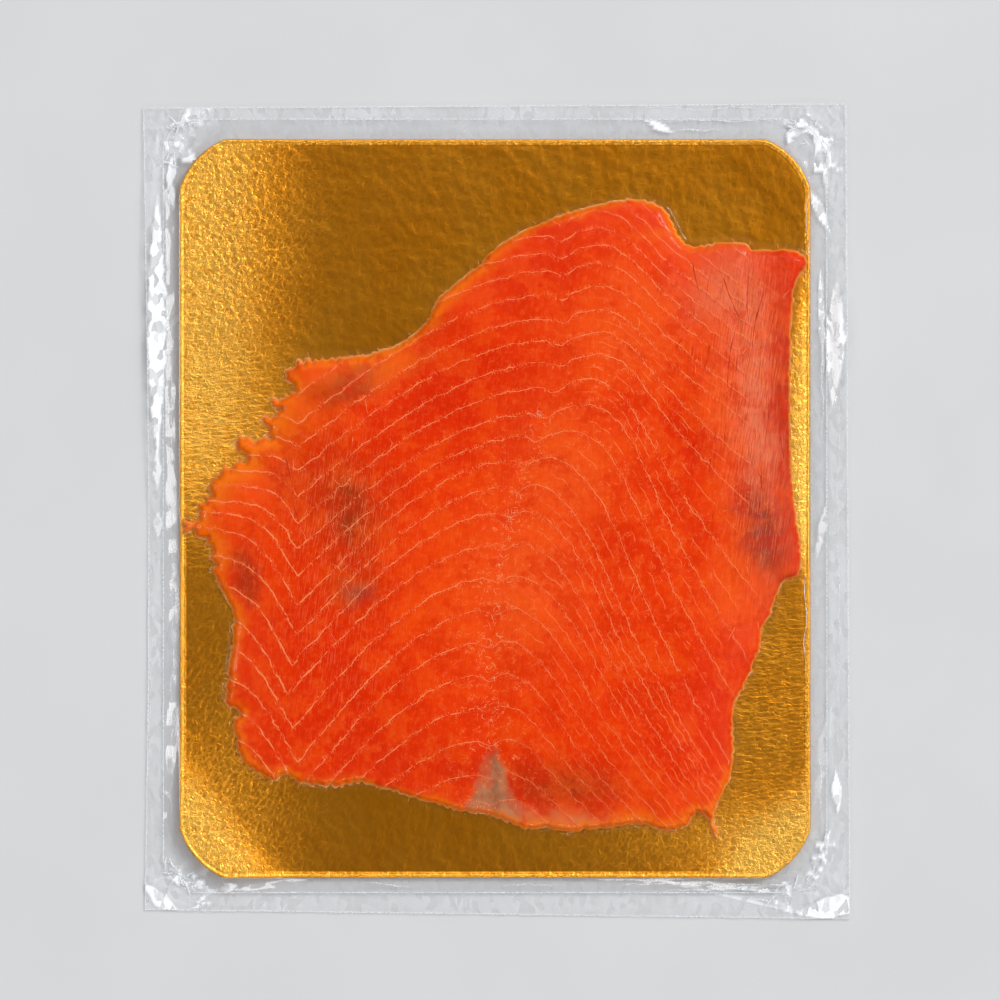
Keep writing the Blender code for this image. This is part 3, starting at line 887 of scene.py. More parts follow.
def fat_lines(recipe, place):
    """The lines of fat: bold ones between flakes, finer ones between those, barbs and veins."""
    count = recipe.value("flake")
    pitch = recipe.value("pitch")
    fat = recipe.value("fat")
    coarse = recipe.noise(place, 0.22, 1.0)
    fine = recipe.noise(place, 1.1, 1.0, 0.7)
    wobble = recipe.maths("MULTIPLY_ADD", coarse, 1.6, -0.8)
    wobble = recipe.maths("ADD", wobble, recipe.maths("MULTIPLY_ADD", fine, 0.4, -0.2))
    along = recipe.noise(place, 0.2, 2.0, 0.7)
    reach = recipe.times(recipe.remap(along, 0.3, 0.7, 0.09, 0.25), recipe.value("bold"))
    line = fat_line(recipe, count, pitch, wobble, reach)
    line = recipe.times(recipe.times(line, recipe.remap(along, 0.36, 0.52, 0.22, 1.0)), fat)
    twice = recipe.times(count, 2.0)
    half_pitch = recipe.times(pitch, 0.5)
    gaps = recipe.noise(place, 0.16, 1.0, 0.6)
    reach = recipe.remap(gaps, 0.35, 0.65, 0.08, 0.22)
    between = fat_line(recipe, twice, half_pitch, wobble, reach)
    between = recipe.times(between, recipe.remap(gaps, 0.4, 0.55, 0.1, 0.9))
    near = fat_line(recipe, count, pitch, wobble, 1.3)
    barbs = recipe.noise(recipe.place_mm((2.6, 0.8, 1), turn=-20), 1.0, 1.0)
    barbs = recipe.times(recipe.remap(barbs, 0.6, 0.68, 0.0, 0.6), near)
    between = recipe.times(between, recipe.value("split"))
    for other in (between, recipe.times(barbs, fat), fine_veins(recipe, place)):
        line = recipe.maths("MAXIMUM", line, other)
    return line


def salmon_flesh():
    """Smoked flesh: soft patches, thin lines of fat between flakes, strands and flecks, with
    painted shade past each line of fat and a painted glow at the very rim.
    """
    recipe = Recipe("salmon_flesh")
    place = recipe.place_mm()
    line = fat_lines(recipe, place)
    strand = recipe.noise(recipe.place_mm((2.2, 0.16, 1), turn=8), 1.0, 2.0, 0.65)
    cloud = recipe.noise(place, 0.075, 3.0, 0.62)
    speckle = recipe.noise(place, 0.5, 2.0, 0.7)
    phase = recipe.maths("FRACT", recipe.value("flake"))
    strong = recipe.value("strand")
    layers = (
        (recipe.remap(cloud, 0.52, 0.6, 0.0, 0.30), "F4560C"),
        (recipe.remap(cloud, 0.46, 0.38, 0.0, 0.38), "D22400"),
        (recipe.remap(speckle, 0.5, 0.7, 0.0, 0.16), "F66A22"),
        (recipe.remap(speckle, 0.46, 0.3, 0.0, 0.16), "C82800"),
        # Painted shade: darker red just past each line of fat, standing in for the shade where one
        # flake overlaps the next.
        (recipe.remap(phase, 0.35, 0.0, 0.0, 0.22), "CC2200"),
        (recipe.times(recipe.remap(strand, 0.55, 0.68, 0.0, 0.4), strong), "F08A5C"),
        (recipe.times(recipe.remap(strand, 0.46, 0.34, 0.0, 0.4), strong), "8A1E08"),
        (recipe.times(line, 0.85), "FA9058"),
        # Painted glow at the very rim, where the flesh is thinnest.
        (recipe.remap(recipe.value("inward"), 0.8, 0.1, 0.0, 0.7), "EFA04A"),
    )
    colour = recipe.colour("tint")
    for share, tone in layers:
        colour = recipe.mixed(share, colour, opaque(tone))
    return recipe.finish(recipe.shader(
        "Principled",
        Base_Color=colour,
        Roughness=recipe.remap(strand, 0.3, 0.7, 0.3, 0.42),
        Specular_IOR_Level=0.04,
        Normal=recipe.bump(strand, 0.35, 0.00012),
    ))


# What is strewn by chance: hairs at the rim, knots of fibres down the seam, and loose fibres
# (where they gather, how widely and how many).
STRAY_HAIRS = 300
SEAM_TOP = 30
SEAM_KNOTS = 34
SEAM_KNOT_STEP = 3.2
LOOSE_FIBRES = (((-47, -8), (8, 20), 45), ((60, 6), (18, 34), 45))
FINE_CRACKS = 46

# Larger cracks in the flesh: where each starts, its heading in degrees and its length.
CRACKS = (
    ((70, 78), -60, 22),
    ((62, 80), -75, 14),
    ((80, 76), -82, 20),
    ((87, 73), -95, 28),
    ((77, 62), -100, 26),
    ((89, 38), -94, 30),
    ((84, 14), -88, 22),
    ((92, 6), -80, 14),
    ((-67, 17), -62, 9),
    ((-64, 2), -75, 7),
)


def runs(wanted):
    """First and last positions of each unbroken run of wanted points."""
    edges = np.flatnonzero(np.diff(np.concatenate(([0], wanted.astype(int), [0]))))
    return [(first, last) for first, last in zip(edges[::2], edges[1::2]) if last - first > 3]


def drifting(chance, start, heading, length, turn):
    """Four knots on from a start, on a heading in radians that drifts."""
    bends = heading + np.cumsum(chance.normal(0, turn, 4))
    steps = length / 4 * np.column_stack((np.cos(bends), np.sin(bends)))
    return np.vstack((start, np.asarray(start) + np.cumsum(steps, axis=0)))


def wandering(chance, start, heading, length, turn, step=0.5):
    """A path that sets off on a heading in degrees and drifts as it goes."""
    knots = drifting(chance, start, math.radians(heading), length, turn)
    return spaced(rounded_path(knots, step, closed=False), step)


def laid(plans, height_at, lift):
    """Plan paths (x, y, girth) given heights, all worked out in one go."""
    x = np.concatenate([plan[0] for plan in plans])
    y = np.concatenate([plan[1] for plan in plans])
    heights = height_at(x, y) + lift
    ends = np.cumsum([len(plan[0]) for plan in plans])[:-1]
    raised = zip(plans, np.split(heights, ends))
    return [(px, py, height, girth) for (px, py, girth), height in raised]


def kept_inside(plans, loop):
    """Only the plan paths that lie wholly inside a closed line."""
    within = is_inside(*(np.concatenate([plan[axis] for plan in plans]) for axis in (0, 1)), loop)
    ends = np.cumsum([len(plan[0]) for plan in plans])[:-1]
    return [plan for plan, inside in zip(plans, np.split(within, ends)) if inside.all()]


def flesh_top(fish_loop):
    """The height of the flesh at any plan places, with the rim's own height outside it."""
    def height_at(x, y):
        """The height at these places."""
        inward = np.where(is_inside(x, y, fish_loop), distance_to(x, y, fish_loop), 0.0)
        return flesh_height(x, y, inward)
    return height_at


def make_fringe(fish_loop, material):
    """Pale skin and fat that fringes the fish's rim, in broken lengths with stray hairs; their pale
    cream is partly a painted glint of the film where it wraps the rim.
    """
    chance = np.random.default_rng(101)
    outwards = outward_normals(fish_loop, clockwise=True)
    x, y = (fish_loop + outwards * 0.12).T
    girth = 0.62 + 0.75 * swell(x, y, 4, 102) + 0.4 * swell(x, y, 1.5, 103) + 0.25 * ease(0, -60, x)
    plans = []
    for first, last in runs(girth > 0.3):
        part = slice(first, last)
        plans.append((x[part], y[part], np.clip(girth[part], 0.3, 1.3) * taper(last - first, 0.3)))
    for _ in range(STRAY_HAIRS):
        index = chance.integers(len(fish_loop))
        if chance.random() > 0.35 + 0.65 * ease(20, -60, x[index]):
            continue
        heading = math.degrees(math.atan2(*outwards[index][::-1])) + chance.uniform(-75, 75)
        hair = wandering(chance, fish_loop[index], heading, chance.uniform(0.7, 2.1), 0.35, 0.3)
        plans.append((*hair.T, 0.5 * taper(len(hair), 0.8)))
    paths = laid(plans, board_face, FISH_RIM_HEIGHT)
    return make_beads("rim_fringe", paths, material, FRINGE_BEADS, 104)


def make_fibres(fish_loop, material):
    """Short pale fibres knotted along the seam, and loose ones over the bruises and right side."""
    chance = np.random.default_rng(111)
    plans = []
    for knot in range(SEAM_KNOTS):
        y = SEAM_TOP - SEAM_KNOT_STEP * knot + chance.normal(0, 1.2)
        middle = (chance.normal(-seam_offset(0.0, y), 1.2), y)
        for _ in range(chance.integers(4, 11)):
            start = chance.normal(middle, (1.5, 1.1))
            heading, length = chance.uniform(-40, 200), chance.uniform(0.8, 3.2)
            fibre = wandering(chance, start, heading, length, 0.6, 0.4)
            plans.append((*fibre.T, chance.uniform(0.25, 0.75) * taper(len(fibre), 0.7)))
    for middle, spread, count in LOOSE_FIBRES:
        for _ in range(count):
            start = chance.normal(middle, spread)
            heading, length = chance.uniform(50, 130), chance.uniform(1.5, 5.5)
            fibre = wandering(chance, start, heading, length, 0.3, 0.5)
            plans.append((*fibre.T, chance.uniform(0.3, 0.6) * taper(len(fibre), 0.7)))
    paths = laid(kept_inside(plans, fish_loop), flesh_top(fish_loop), 0.02)
    return make_beads("fat_fibres", paths, material, FIBRE_BEADS, 112)


def make_cracks(fish_loop, material):
    """Dark cracks where the flesh has parted: raised beads whose dark red is painted shade inside
    the cracks.
    """
    chance = np.random.default_rng(121)
    plans = []
    cracks = list(CRACKS)
    for _ in range(FINE_CRACKS):
        start = chance.uniform(62, 90), chance.uniform(2, 78)
        cracks.append((start, chance.uniform(-104, -70), chance.uniform(5, 17)))
    for order, (start, heading, length) in enumerate(cracks):
        x, y = wandering(chance, start, heading, length, 0.12).T
        girth = 1.0 if order < len(CRACKS) else chance.uniform(0.3, 0.65)
        uneven = np.clip(0.8 + 0.5 * swell(x, y, 4, 122), 0.3, 1.4)
        plans.append((x, y, girth * uneven * taper(len(x), 0.8)))
    paths = laid(kept_inside(plans, fish_loop), flesh_top(fish_loop), -0.02)
    return make_beads("flesh_cracks", paths, material, CRACK_BEADS, 123)


def fish_detail(name, first, second, roughness):
    """A plain moist finish that drifts between two colours."""
    recipe = Recipe(name)
    drift = recipe.noise(recipe.place_mm(), 0.6, 4.0, 0.65)
    return recipe.finish(recipe.shader(
        "Principled",
        Base_Color=recipe.mixed(recipe.remap(drift, 0.35, 0.65), opaque(first), opaque(second)),
        Roughness=roughness,
        Specular_IOR_Level=0.2,
        Normal=recipe.bump(drift, 0.3, 0.0001),
    ))


def fat_line(recipe, count, pitch, wobble, reach):
    """1 on a wavering line wherever the flake count passes a whole number."""
    phase = recipe.maths("FRACT", recipe.maths("ADD", count, 0.5))
    phase = recipe.maths("SUBTRACT", phase, 0.5)
    distance = recipe.maths("ABSOLUTE", recipe.maths("MULTIPLY_ADD", phase, pitch, wobble))
    return recipe.remap(distance, reach, recipe.times(reach, 0.4))


def fine_veins(recipe, place):
    """Hair-thin broken veins of fat, in patches along the seam and down the right side."""
    field = recipe.noise(place, 0.34, 3.0, 0.65, 0.5)
    vein = recipe.maths("ABSOLUTE", recipe.maths("SUBTRACT", field, 0.5))
    patches = recipe.remap(recipe.noise(place, 0.3, 1.0, 0.7), 0.5, 0.6, 0.0, 0.7)
    veins = recipe.times(recipe.remap(vein, 0.02, 0.004), patches)
    return recipe.times(veins, recipe.value("mottle"))


# ---------------------------------------------------------------- film


def pouch_corners():
    """Cut corners of the pouch: bottom left, bottom right, top right, top left."""
    corners = []
    for name, (short_x, short_y) in CORNER_SHORT.items():
        x = (POUCH_HIGH.x / MM - short_x) if "right" in name else (POUCH_LOW.x / MM + short_x)
        y = (POUCH_HIGH.y / MM - short_y) if "top" in name else (POUCH_LOW.y / MM + short_y)
        corners.append((x - BOARD_CENTRE.x / MM, y - BOARD_CENTRE.y / MM))
    return np.array(corners)


def graded_steps(length):
    """Shares from 0 to 1, finely stepped within the margin at both ends."""
    edge = np.arange(0, FILM_MARGIN, FILM_FINE_STEP)
    inner = length - 2 * FILM_MARGIN
    count = round(inner / FILM_COARSE_STEP)
    middle = FILM_MARGIN + np.arange(count) * inner / count
    return np.concatenate((edge, middle, length - edge[::-1])) / length


# The weld's inner line: its gap outside each side of the board, and the radius at each corner.
WELD_LEFT = 5.4
WELD_RIGHT = 5.2
WELD_TOP = 6.5
WELD_BOTTOM = 4.8
WELD_RADII = (12, 16, 14, 11)

# Folds painted white as glare where the film catches the light: middle, half length, half width,
# heading in degrees and strength.
LEFT_PAINTED_GLARE = (
    ((-107.4, 58), 42, 2.9, 90, 0.95),
    ((-107.4, 12.5), 6, 1.3, 90, 0.5),
    ((-107.2, -5), 4, 1.6, 90, 0.55),
    ((-100, 113.5), 6.5, 2.6, -30, 0.95),
    ((-102.8, 107), 6, 1.5, 80, 0.9),
    ((-102.6, 99), 5, 1.1, 95, 0.8),
    ((-106, -124.5), 8, 2.2, -42, 0.85),
    ((-84.5, -120.3), 2.8, 1.6, 10, 0.9),
    ((-93, -126), 3, 0.8, 16, 0.7),
)
RIGHT_PAINTED_GLARE = (
    ((52, 121.5), 5, 1.3, -25, 0.85),
    ((97.6, 122), 3, 0.9, -62, 0.9),
    ((102.6, 117.5), 7, 1.7, -52, 0.6),
    ((105, 105), 5, 0.8, 95, 0.9),
    ((102.8, 95), 8, 1.5, -64, 0.9),
    ((107.9, 53), 20, 2.9, 88, 0.95),
    ((103.7, 60), 17, 0.9, 92, 0.75),
    ((103.6, -7), 9, 1.3, 80, 0.5),
    ((108.6, -90), 7, 1.6, 93, 0.9),
    ((104.2, -78), 17, 2.2, 80, 0.2),
    ((92.4, -121), 3, 1.5, -70, 0.9),
    ((91.5, -126.3), 4, 1.3, -35, 0.7),
    ((107, -126.6), 11, 3.4, 12, 0.95),
    ((80.5, -120.3), 3.6, 0.7, 0, 0.85),
)

# Long creases beside the weld: side, inset from the weld, where each runs, and its girth.
SIDE_CREASES = (
    ("left", 0.8, 98, 62, 0.9),
    ("left", 2.6, 58, 4, 0.9),
    ("left", 2.8, -8, -102, 0.7),
    ("left", -4.2, -10, -100, 0.5),
    ("right", 6.5, 101, 80, 0.9),
    ("right", 1.4, 74, 22, 1.3),
    ("right", 6.8, -21, -52, 1.0),
    ("right", 1.8, -76, -103, 1.2),
    ("right", -3.8, 68, -86, 0.6),
    ("bottom", 2.4, -40, -26, 1.5),
    ("bottom", 2.6, 2, 21, 0.7),
    ("bottom", 2.8, 40, 84, 1.6),
    ("bottom", 0.8, 49, 92, 1.1),
    ("top", -3.6, 46, 98, 0.8),
    ("top", 0.4, 54, 84, 1.2),
    ("top", 3.4, 56, 72, 1.4),
)
CORNER_CREASES = (8, 7, 7, 6)
CORNER_STARS = (5, 4, 4, 3)


def weld_corner(corner):
    """Middle of the weld's rounded corner, its radius, and the first angle of its arc."""
    x = (-HALF_WIDTH - WELD_LEFT, HALF_WIDTH + WELD_RIGHT)[corner in (1, 2)]
    y = (-HALF_LENGTH - WELD_BOTTOM, HALF_LENGTH + WELD_TOP)[corner in (2, 3)]
    radius = WELD_RADII[corner]
    middle = np.array((x - math.copysign(radius, x), y - math.copysign(radius, y)))
    return middle, radius, 180 + 90 * corner


def weld_loop(step=0.8):
    """The weld's inner line, anticlockwise from the bottom left corner."""
    points = []
    for corner in range(4):
        middle, radius, start = weld_corner(corner)
        angles = np.radians(np.linspace(start, start + 90, 14))
        points.append(middle + radius * np.column_stack((np.cos(angles), np.sin(angles))))
    points.append(points[0][:1])
    return spaced(np.vstack(points), step)


def side_crease(side, inset, start, end, girth, seed):
    """A long crease that wanders beside one side of the weld."""
    run = np.linspace(start, end, max(6, round(abs(end - start) / 0.8)))
    wander = 0.55 * swell(run, 0 * run, 9, seed) + 0.2 * swell(run, 0 * run, 3, seed + 1)
    reach = {
        "left": -HALF_WIDTH - WELD_LEFT + inset + wander,
        "right": HALF_WIDTH + WELD_RIGHT - inset + wander,
        "top": HALF_LENGTH + WELD_TOP - inset + wander,
        "bottom": -HALF_LENGTH - WELD_BOTTOM + inset + wander,
    }[side]
    upright = side in ("left", "right")
    path = (reach, run) if upright else (run, reach)
    uneven = 0.75 + 0.45 * swell(run, 0 * run, 5, seed + 2)
    return *path, girth * taper(len(run), 0.4) * np.clip(uneven, 0.25, 1.3)


def towards(angle):
    """The unit step at an angle in radians."""
    return np.array((math.cos(angle), math.sin(angle)))


def corner_spot(corner, chance):
    """A chance place where the film is drawn round one of the weld's corners, and its bearing."""
    middle, radius, start = weld_corner(corner)
    angle = math.radians(start + chance.uniform(-12, 102))
    return middle + (radius + chance.uniform(-3.5, 1.0)) * towards(angle), angle


def corner_stars():
    """Three-armed folds with pointed arms, a few at each corner of the weld."""
    chance = np.random.default_rng(72)
    folds = []
    for corner, count in enumerate(CORNER_STARS):
        for _ in range(count):
            centre, bearing = corner_spot(corner, chance)
            for arm in range(3):
                heading = math.degrees(bearing) + 90 + 120 * arm + chance.uniform(-30, 30)
                half_length = chance.uniform(1.3, 3.4)
                place = centre + 0.72 * half_length * towards(math.radians(heading))
                half_width, strength = chance.uniform(0.45, 0.95), chance.uniform(0.7, 0.95)
                folds.append((place, half_length, half_width, heading, strength))
    return tuple(folds)


STAR_FOLDS = corner_stars()


def corner_creases(corner, count, chance):
    """Short forked creases that gather where the film is drawn round one of the board's corners."""
    creases = []
    for _ in range(count):
        start, angle = corner_spot(corner, chance)
        heading = angle + math.pi / 2 * chance.choice((-1, 1)) + chance.uniform(-0.9, 0.9)
        length = chance.uniform(3.5, 8.5)
        for branch_length in (length, 0.6 * length):
            knots = drifting(chance, start, heading, branch_length, 0.16)
            path = spaced(rounded_path(knots, 0.4, closed=False), 0.4)
            creases.append((*path.T, chance.uniform(0.9, 2.6) * taper(len(path), 0.9)))
            start = knots[2]
            heading += chance.choice((-1, 1)) * chance.uniform(0.6, 1.2)
    return creases


def fold_share(x, y, centre, half_length, half_width, heading, ragged=0.2):
    """How far each point lies inside a fold with pointed ends and an uneven edge, 0 to 1."""
    turn = math.radians(heading)
    along = ((x - centre[0]) * math.cos(turn) + (y - centre[1]) * math.sin(turn)) / half_length
    across = (-(x - centre[0]) * math.sin(turn) + (y - centre[1]) * math.cos(turn)) / half_width
    uneven = 1 + ragged * swell(x, y, 3.5, round(heading) + 200)
    edge = np.clip(1 - np.abs(along) ** 1.6, 0, 1) * uneven
    return ease(0.14, -0.14, np.abs(across) - edge) * (np.abs(along) < 1)


def folded_share(x, y, folds):
    """How strongly each point lies in any of the folds, 0 to 1."""
    share = np.zeros(np.shape(x))
    for *fold, strength in folds:
        share = np.maximum(share, strength * fold_share(x, y, *fold))
    return share


def corner_pull(x, y):
    """1 in the film's puckered corners, easing to 0 away from them."""
    pull = np.zeros(np.shape(x))
    for sign_x in (-1, 1):
        for sign_y in (-1, 1):
            pull += blob(x, y, (sign_x * (HALF_WIDTH - 1), sign_y * (HALF_LENGTH - 1)), (13, 14))
    return np.clip(pull, 0, 1)


def film_height(x, y, board_loop, fish_loop):
    """Height of the upper web, its reach outside the board, and whether it lies on the board."""
    board_reach = distance_to(x, y, board_loop)
    on_board = is_inside(x, y, board_loop)
    near = np.clip(x, -HALF_WIDTH, HALF_WIDTH), np.clip(y, -HALF_LENGTH, HALF_LENGTH)
    face = board_face(*near)
    slope = np.clip(1 - board_reach / 6.2, 0, 1) ** 1.7
    margin = SEAL_HEIGHT + (face + FILM_OFF_BOARD - SEAL_HEIGHT) * slope
    ridges = 1 - np.abs(swell(x, y, 3.0, 62)) - np.abs(swell(x, y, 1.6, 63)) * 0.5
    pucker = (0.05 + 0.5 * corner_pull(x, y)) * np.clip(ridges, 0, 1) * ease(0.3, 2.2, board_reach)
    curl = 1.7 * blob(x, y, (-HALF_WIDTH - 10, 58), (6, 46), 0, 2)
    curl += 1.7 * blob(x, y, (HALF_WIDTH + 11, 54), (6, 24), 0, 2) * ease(4, 9, board_reach)
    loose = 0.14 * (1 + swell(x, y, 7, 64)) * ease(0.5, 3, board_reach)
    margin = margin + pucker + curl * ease(4, 10, board_reach) + loose
    margin += 0.35 * folded_share(x, y, STAR_FOLDS) * ease(0.2, 1.4, board_reach)
    height = np.where(on_board, face + FILM_OFF_BOARD, margin)
    fish_reach = distance_to(x, y, fish_loop)
    on_fish = is_inside(x, y, fish_loop)
    flesh = flesh_height(x, y, np.where(on_fish, fish_reach, 0.0)) + FILM_CLEARANCE
    fillet = (face + 0.5 - height) * np.exp(-((fish_reach / 1.7) ** 2))
    height = np.where(on_fish, flesh, height + np.maximum(fillet, 0) * on_board)
    return height, board_reach, on_board


def pouch_place(u, v):
    """Plan places on the pouch for shares across and along it, with the left side's bow."""
    corners = pouch_corners()
    bottom = corners[0] + u[:, None] * (corners[1] - corners[0])
    top = corners[3] + u[:, None] * (corners[2] - corners[3])
    place = bottom + v[:, None] * (top - bottom)
    return place[:, 0] + LEFT_SIDE_BOW * np.sin(math.pi * v) * (1 - u) ** 6, place[:, 1]


def make_pouch(board_loop, fish_loop, material, folded):
    """The pouch as one closed bag: the draped upper web, and the flat web under the board."""
    width, length = ((POUCH_HIGH[axis] - POUCH_LOW[axis]) / MM for axis in (0, 1))
    across, along = graded_steps(width), graded_steps(length)
    u, v = np.meshgrid(across, along)
    x, y = pouch_place(u.ravel(), v.ravel())
    height, reach, on_board = film_height(x, y, board_loop, fish_loop)
    columns = len(across)
    rows = len(along)
    grid = np.arange(rows * columns).reshape(rows, columns)
    corners = (grid[:-1, :-1], grid[:-1, 1:], grid[1:, 1:], grid[1:, :-1])
    faces = np.stack(corners, -1).reshape(-1, 4)
    ring = np.concatenate((grid[0, :-1], grid[:-1, -1], grid[-1, :0:-1], grid[:0:-1, 0]))
    base = len(x)
    count = len(ring)
    under = np.arange(count) + base
    skirt = np.stack((ring, under, np.roll(under, -1), np.roll(ring, -1)), -1)
    points = np.vstack((to_frame(x, y, height), to_frame(x[ring], y[ring], np.zeros(count))))
    faces = faces.tolist() + skirt.tolist() + [under[::-1].tolist()]
    pouch = mesh_object("clear_pouch", points, faces, material)
    pouch.data.materials.append(folded)
    clinging = np.concatenate((on_board, np.zeros(count, bool)))
    around = [int(not clinging[face[0]]) for face in faces]
    pouch.data.polygons.foreach_set("material_index", around)
    pouch.data.set_sharp_from_angle(angle=math.radians(60))
    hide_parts("film_pouch")
    haze_and_glare, dim = film_looks(x, y, reach, on_board)
    give_values(pouch, "haze_and_glare", np.concatenate((haze_and_glare, haze_and_glare[ring])))
    give_values(pouch, "dim", np.concatenate((dim, np.zeros(count))))
    return pouch


def film_looks(x, y, reach, on_board):
    """How milky the film is, with painted glare on its folds and corners, and how much painted
    shade dims what is behind it beside the board.
    """
    streaks = np.clip(swell(x, y, 4.0, 65) - 0.35, 0, 1) * corner_pull(x, y)
    # Painted glare: the listed folds, the star folds and the corner streaks are whitened where the
    # film catches the light; the star folds are also raised in the film itself.
    haze_and_glare = folded_share(x, y, LEFT_PAINTED_GLARE + RIGHT_PAINTED_GLARE + STAR_FOLDS)
    haze_and_glare += (0.03 + 0.35 * streaks) * ~on_board
    haze_and_glare += 0.16 * ease(5.4, 6.6, reach) * (1 + 0.5 * swell(x, y, 20, 66))
    # Painted shade: the film in the margin beside the board darkens what lies behind it, standing
    # in for the board's shadow and the darker view through the sloping film.
    dim = np.where(on_board, 0.0, 0.9 * ease(6.4, 5.0, reach))
    return np.clip(haze_and_glare, 0, 0.95), dim


def make_film_creases(board_loop, fish_loop, material):
    """The weld's line, the cut edge and the creases beside them, as fine beads on the film."""
    chance = np.random.default_rng(81)
    weld = weld_loop()
    plans = [(*weld.T, 0.9 + 0.3 * swell(*weld.T, 16, 82))]
    share = np.linspace(0, 1, 260)
    none, full = np.zeros(260), np.ones(260)
    for u, v in ((share, none), (full, share), (share[::-1], full), (none, share[::-1])):
        x, y = pouch_place(u, v)
        plans.append((x, y, 0.8 + 0.25 * swell(x, y, 12, 83)))
    for index, crease in enumerate(SIDE_CREASES):
        plans.append(side_crease(*crease, 90 + 3 * index))
    for corner, count in enumerate(CORNER_CREASES):
        creases = corner_creases(corner, count, chance)
        plans += [crease for crease in creases if not is_inside(*crease[:2], board_loop).any()]
    plans = [(x, y, np.clip(girth, 0.05, 2.6)) for x, y, girth in plans]
    paths = laid(plans, lambda x, y: film_height(x, y, board_loop, fish_loop)[0], 0.04)
    return make_beads("film_creases", paths, material, CREASE_BEADS, 84)


def shiny_film(recipe, tint, mirror):
    """Tinted clear film with this much mirror-like gloss, and more of it at a glance."""
    gloss = recipe.shader("Glossy", Roughness=FILM_ROUGHNESS)
    facing = recipe.node("ShaderNodeLayerWeight").outputs["Facing"]
    share = recipe.maths("MULTIPLY_ADD", recipe.maths("POWER", facing, 5.0), 0.8, mirror)
    return recipe.shader_mix(share, recipe.shader("Transparent", Color=tint), gloss)


def clear_film():
    """The film that clings to the board and the fish: clear, with a faint mirror-like gloss."""
    recipe = Recipe("clear_film")
    return recipe.finish(shiny_film(recipe, (0.992, 0.993, 0.995, 1), 0.008))


def folded_film():
    """The film around the board: glossier, dimmed beside the board by painted shade, and milky in
    facets where it is folded, with painted glare in those facets.
    """
    recipe = Recipe("folded_film")
    # The margin beside the board is darkened by painted shade.
    tint = recipe.mixed(recipe.value("dim"), (0.997, 0.998, 0.999, 1), (0.925, 0.93, 0.94, 1))
    # White for the film's milkiness and for its painted glare.
    milk_and_glare = recipe.shader("Diffuse", Color=(0.97, 0.98, 1.0, 1))
    place = recipe.warped(recipe.place_mm((1.0, 0.55, 1)), 0.5, 1.5)
    facet = recipe.cells(place, 0.62, "Color")
    facet = recipe.node("ShaderNodeSeparateColor", {0: facet}).outputs[0]
    haze_and_glare = recipe.times(recipe.value("haze_and_glare"), recipe.remap(facet, 0.1, 0.6, 0.4, 1.0))
    return recipe.finish(recipe.shader_mix(haze_and_glare, shiny_film(recipe, tint, 0.05), milk_and_glare))


def creased_film():
    """Film bunched into a bead: white, glossy and a little see-through; its white is partly the
    film's own whitening where it bunches and partly a painted highlight along the weld and creases.
    """
    recipe = Recipe("creased_film")
    grain = recipe.noise(recipe.place_mm(), 1.4, 3.0)
    clear = recipe.shader("Transparent", Color=(0.99, 0.992, 0.996, 1))
    # The white stands partly for the film's own whitening and partly for a painted highlight along
    # the beads.
    bright = recipe.shader(
        "Principled",
        Base_Color=(0.95, 0.965, 0.99, 1),
        Roughness=0.3,
        Normal=recipe.bump(grain, 0.4, 0.0002),
    )
    share = recipe.remap(grain, 0.35, 0.6, 0.25, 0.85)
    return recipe.finish(recipe.shader_mix(share, clear, bright))


# ---------------------------------------------------------------- surroundings

TENT_BRIGHT = 1.35
TENT_DIM = 0.2
FLOOR_DROP = 0.3

# Camera, in metres: how far above the board it hangs, how wide its view is there, and how far
# the view's middle lies from the board's.
CAMERA_HEIGHT = 1.5
VIEW_WIDTH = 0.3175
VIEW_SHIFT = Vector((1.52, 2.73, 0)) * MM


def add_camera():
    """Straight down on the pack, from well above."""
    data = bpy.data.cameras.new("overhead")
    data.sensor_width = 36.0
    data.lens = data.sensor_width * CAMERA_HEIGHT / VIEW_WIDTH
    data.clip_end = 10
    camera = bpy.data.objects.new("overhead", data)
    camera.location = BOARD_CENTRE + VIEW_SHIFT
    camera.location.z = BOARD_HIGH.z + CAMERA_HEIGHT
    bpy.context.scene.collection.objects.link(camera)
    bpy.context.scene.camera = camera


def add_light(name, place, width, height, power):
    """A soft box aimed at the pack."""
    data = bpy.data.lights.new(name, "AREA")
    data.shape = "RECTANGLE"
    data.size = width
    data.size_y = height
    data.energy = power
    light = bpy.data.objects.new(name, data)
    light.location = place
    light.rotation_euler = Vector(place).to_track_quat("Z", "Y").to_euler()
    bpy.context.scene.collection.objects.link(light)


def add_studio():
    """Soft boxes round the pack, a dim surround and a pale floor."""
    add_light("key_box", (1.15, 1.0, 1.6), 0.55, 0.55, 18)
    add_light("left_box", (-1.6, 0.1, 1.5), 0.35, 0.9, 9)
    add_light("foot_box", (0.1, -1.8, 1.2), 0.9, 0.35, 8)
    bpy.context.scene.world = light_tent()
    bpy.context.scene.view_settings.view_transform = "Standard"
    bpy.ops.mesh.primitive_plane_add(size=8)
    floor = bpy.context.active_object
    floor.name = "floor"
    floor.location.z = -FLOOR_DROP * MM
    floor.data.materials.append(pale_floor())


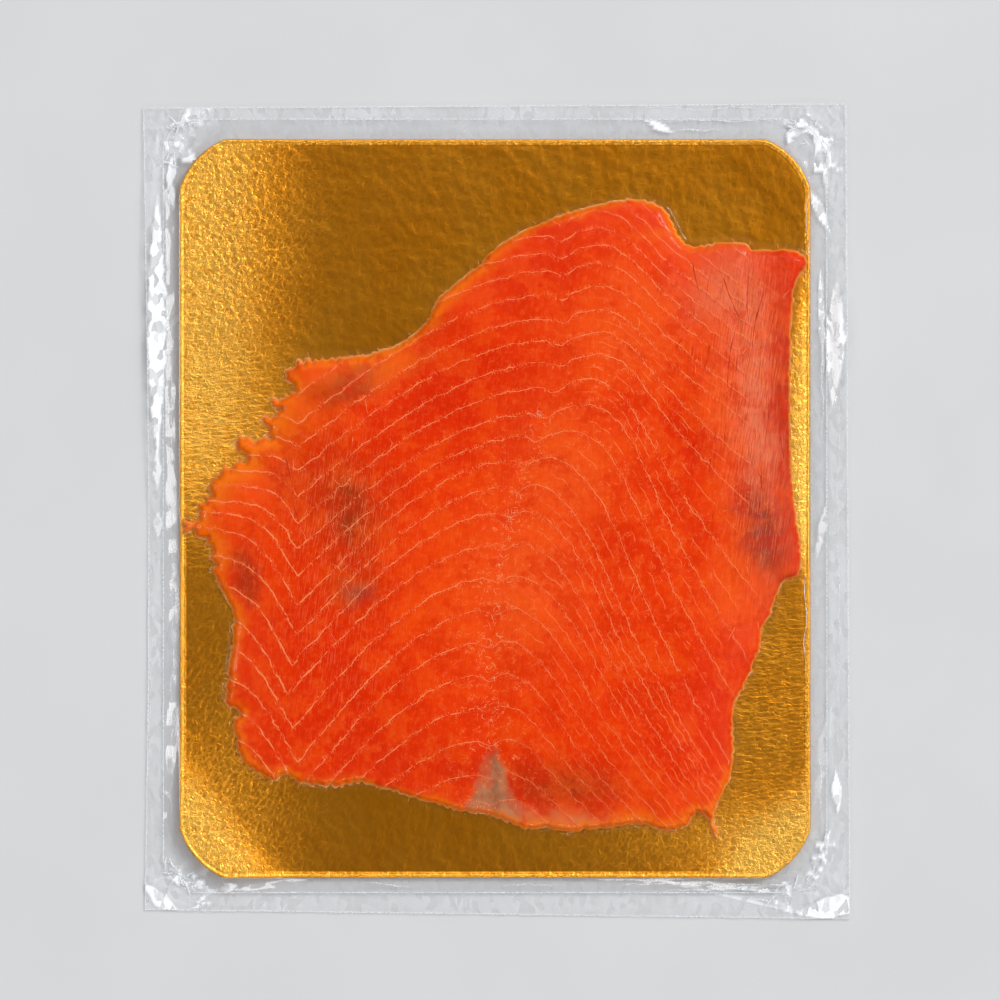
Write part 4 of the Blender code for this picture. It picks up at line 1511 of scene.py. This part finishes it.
def light_tent():
    """A soft tent round the pack: dim straight overhead and low down, brightest towards the
    upper right."""
    world = bpy.data.worlds.new("light_tent")
    world.use_nodes = True
    tree = world.node_tree
    direction = build_node(tree, "ShaderNodeTexCoord").outputs["Generated"]
    rise = build_node(tree, "ShaderNodeSeparateXYZ", {0: direction}).outputs["Z"]
    bands = build_node(tree, "ShaderNodeValToRGB", {0: rise})
    levels = ((0.25, TENT_DIM), (0.5, TENT_BRIGHT), (0.93, TENT_BRIGHT), (0.985, TENT_DIM))
    for height, _ in levels[2:]:
        bands.color_ramp.elements.new(height)
    for element, (height, level) in zip(bands.color_ramp.elements, levels):
        element.position = height
        element.color = (0.96 * level, 0.98 * level, level, 1)
    feeds = {0: direction, 1: (0.8, 0.6, 0.0)}
    toward = build_node(tree, "ShaderNodeVectorMath", feeds, operation="DOT_PRODUCT")
    feeds = {"Value": toward.outputs["Value"], "From Min": -0.15, "From Max": 0.4}
    feeds.update({"To Min": 0.22, "To Max": 1.0})
    sky = tree.nodes["Background"]
    feed(tree, sky.inputs["Strength"], build_node(tree, "ShaderNodeMapRange", feeds).outputs[0])
    feed(tree, sky.inputs["Color"], bands.outputs[0])
    return world


def pale_floor():
    """A matt, nearly even pale grey."""
    recipe = Recipe("pale_floor")
    uneven = recipe.remap(recipe.noise(recipe.place_mm(), 0.02, 3.0), 0.3, 0.7)
    return recipe.finish(recipe.shader(
        "Principled",
        Base_Color=recipe.mixed(uneven, (0.64, 0.64, 0.645, 1), (0.655, 0.655, 0.66, 1)),
        Roughness=0.9,
        Specular_IOR_Level=0.1,
    ))


def main():
    """Sets up the view and makes the pack's pieces."""
    add_camera()
    add_studio()
    board_loop = board_outline()
    fish_loop = fish_outline()
    make_board(gold_foil())
    make_flesh(fish_loop, salmon_flesh())
    # The fringe's pale cream is partly a painted glint of the film at the rim.
    make_fringe(fish_loop, fish_detail("pale_fringe", "F0A04A", "F8CE92", 0.35))
    make_fibres(fish_loop, fish_detail("fat_fibres", "F58A4C", "F9B184", 0.4))
    # Dark red for the cracks: painted shade inside them.
    make_cracks(fish_loop, fish_detail("dark_cracks", "8E1404", "B02408", 0.4))
    make_pouch(board_loop, fish_loop, clear_film(), folded_film())
    make_film_creases(board_loop, fish_loop, creased_film())


main()
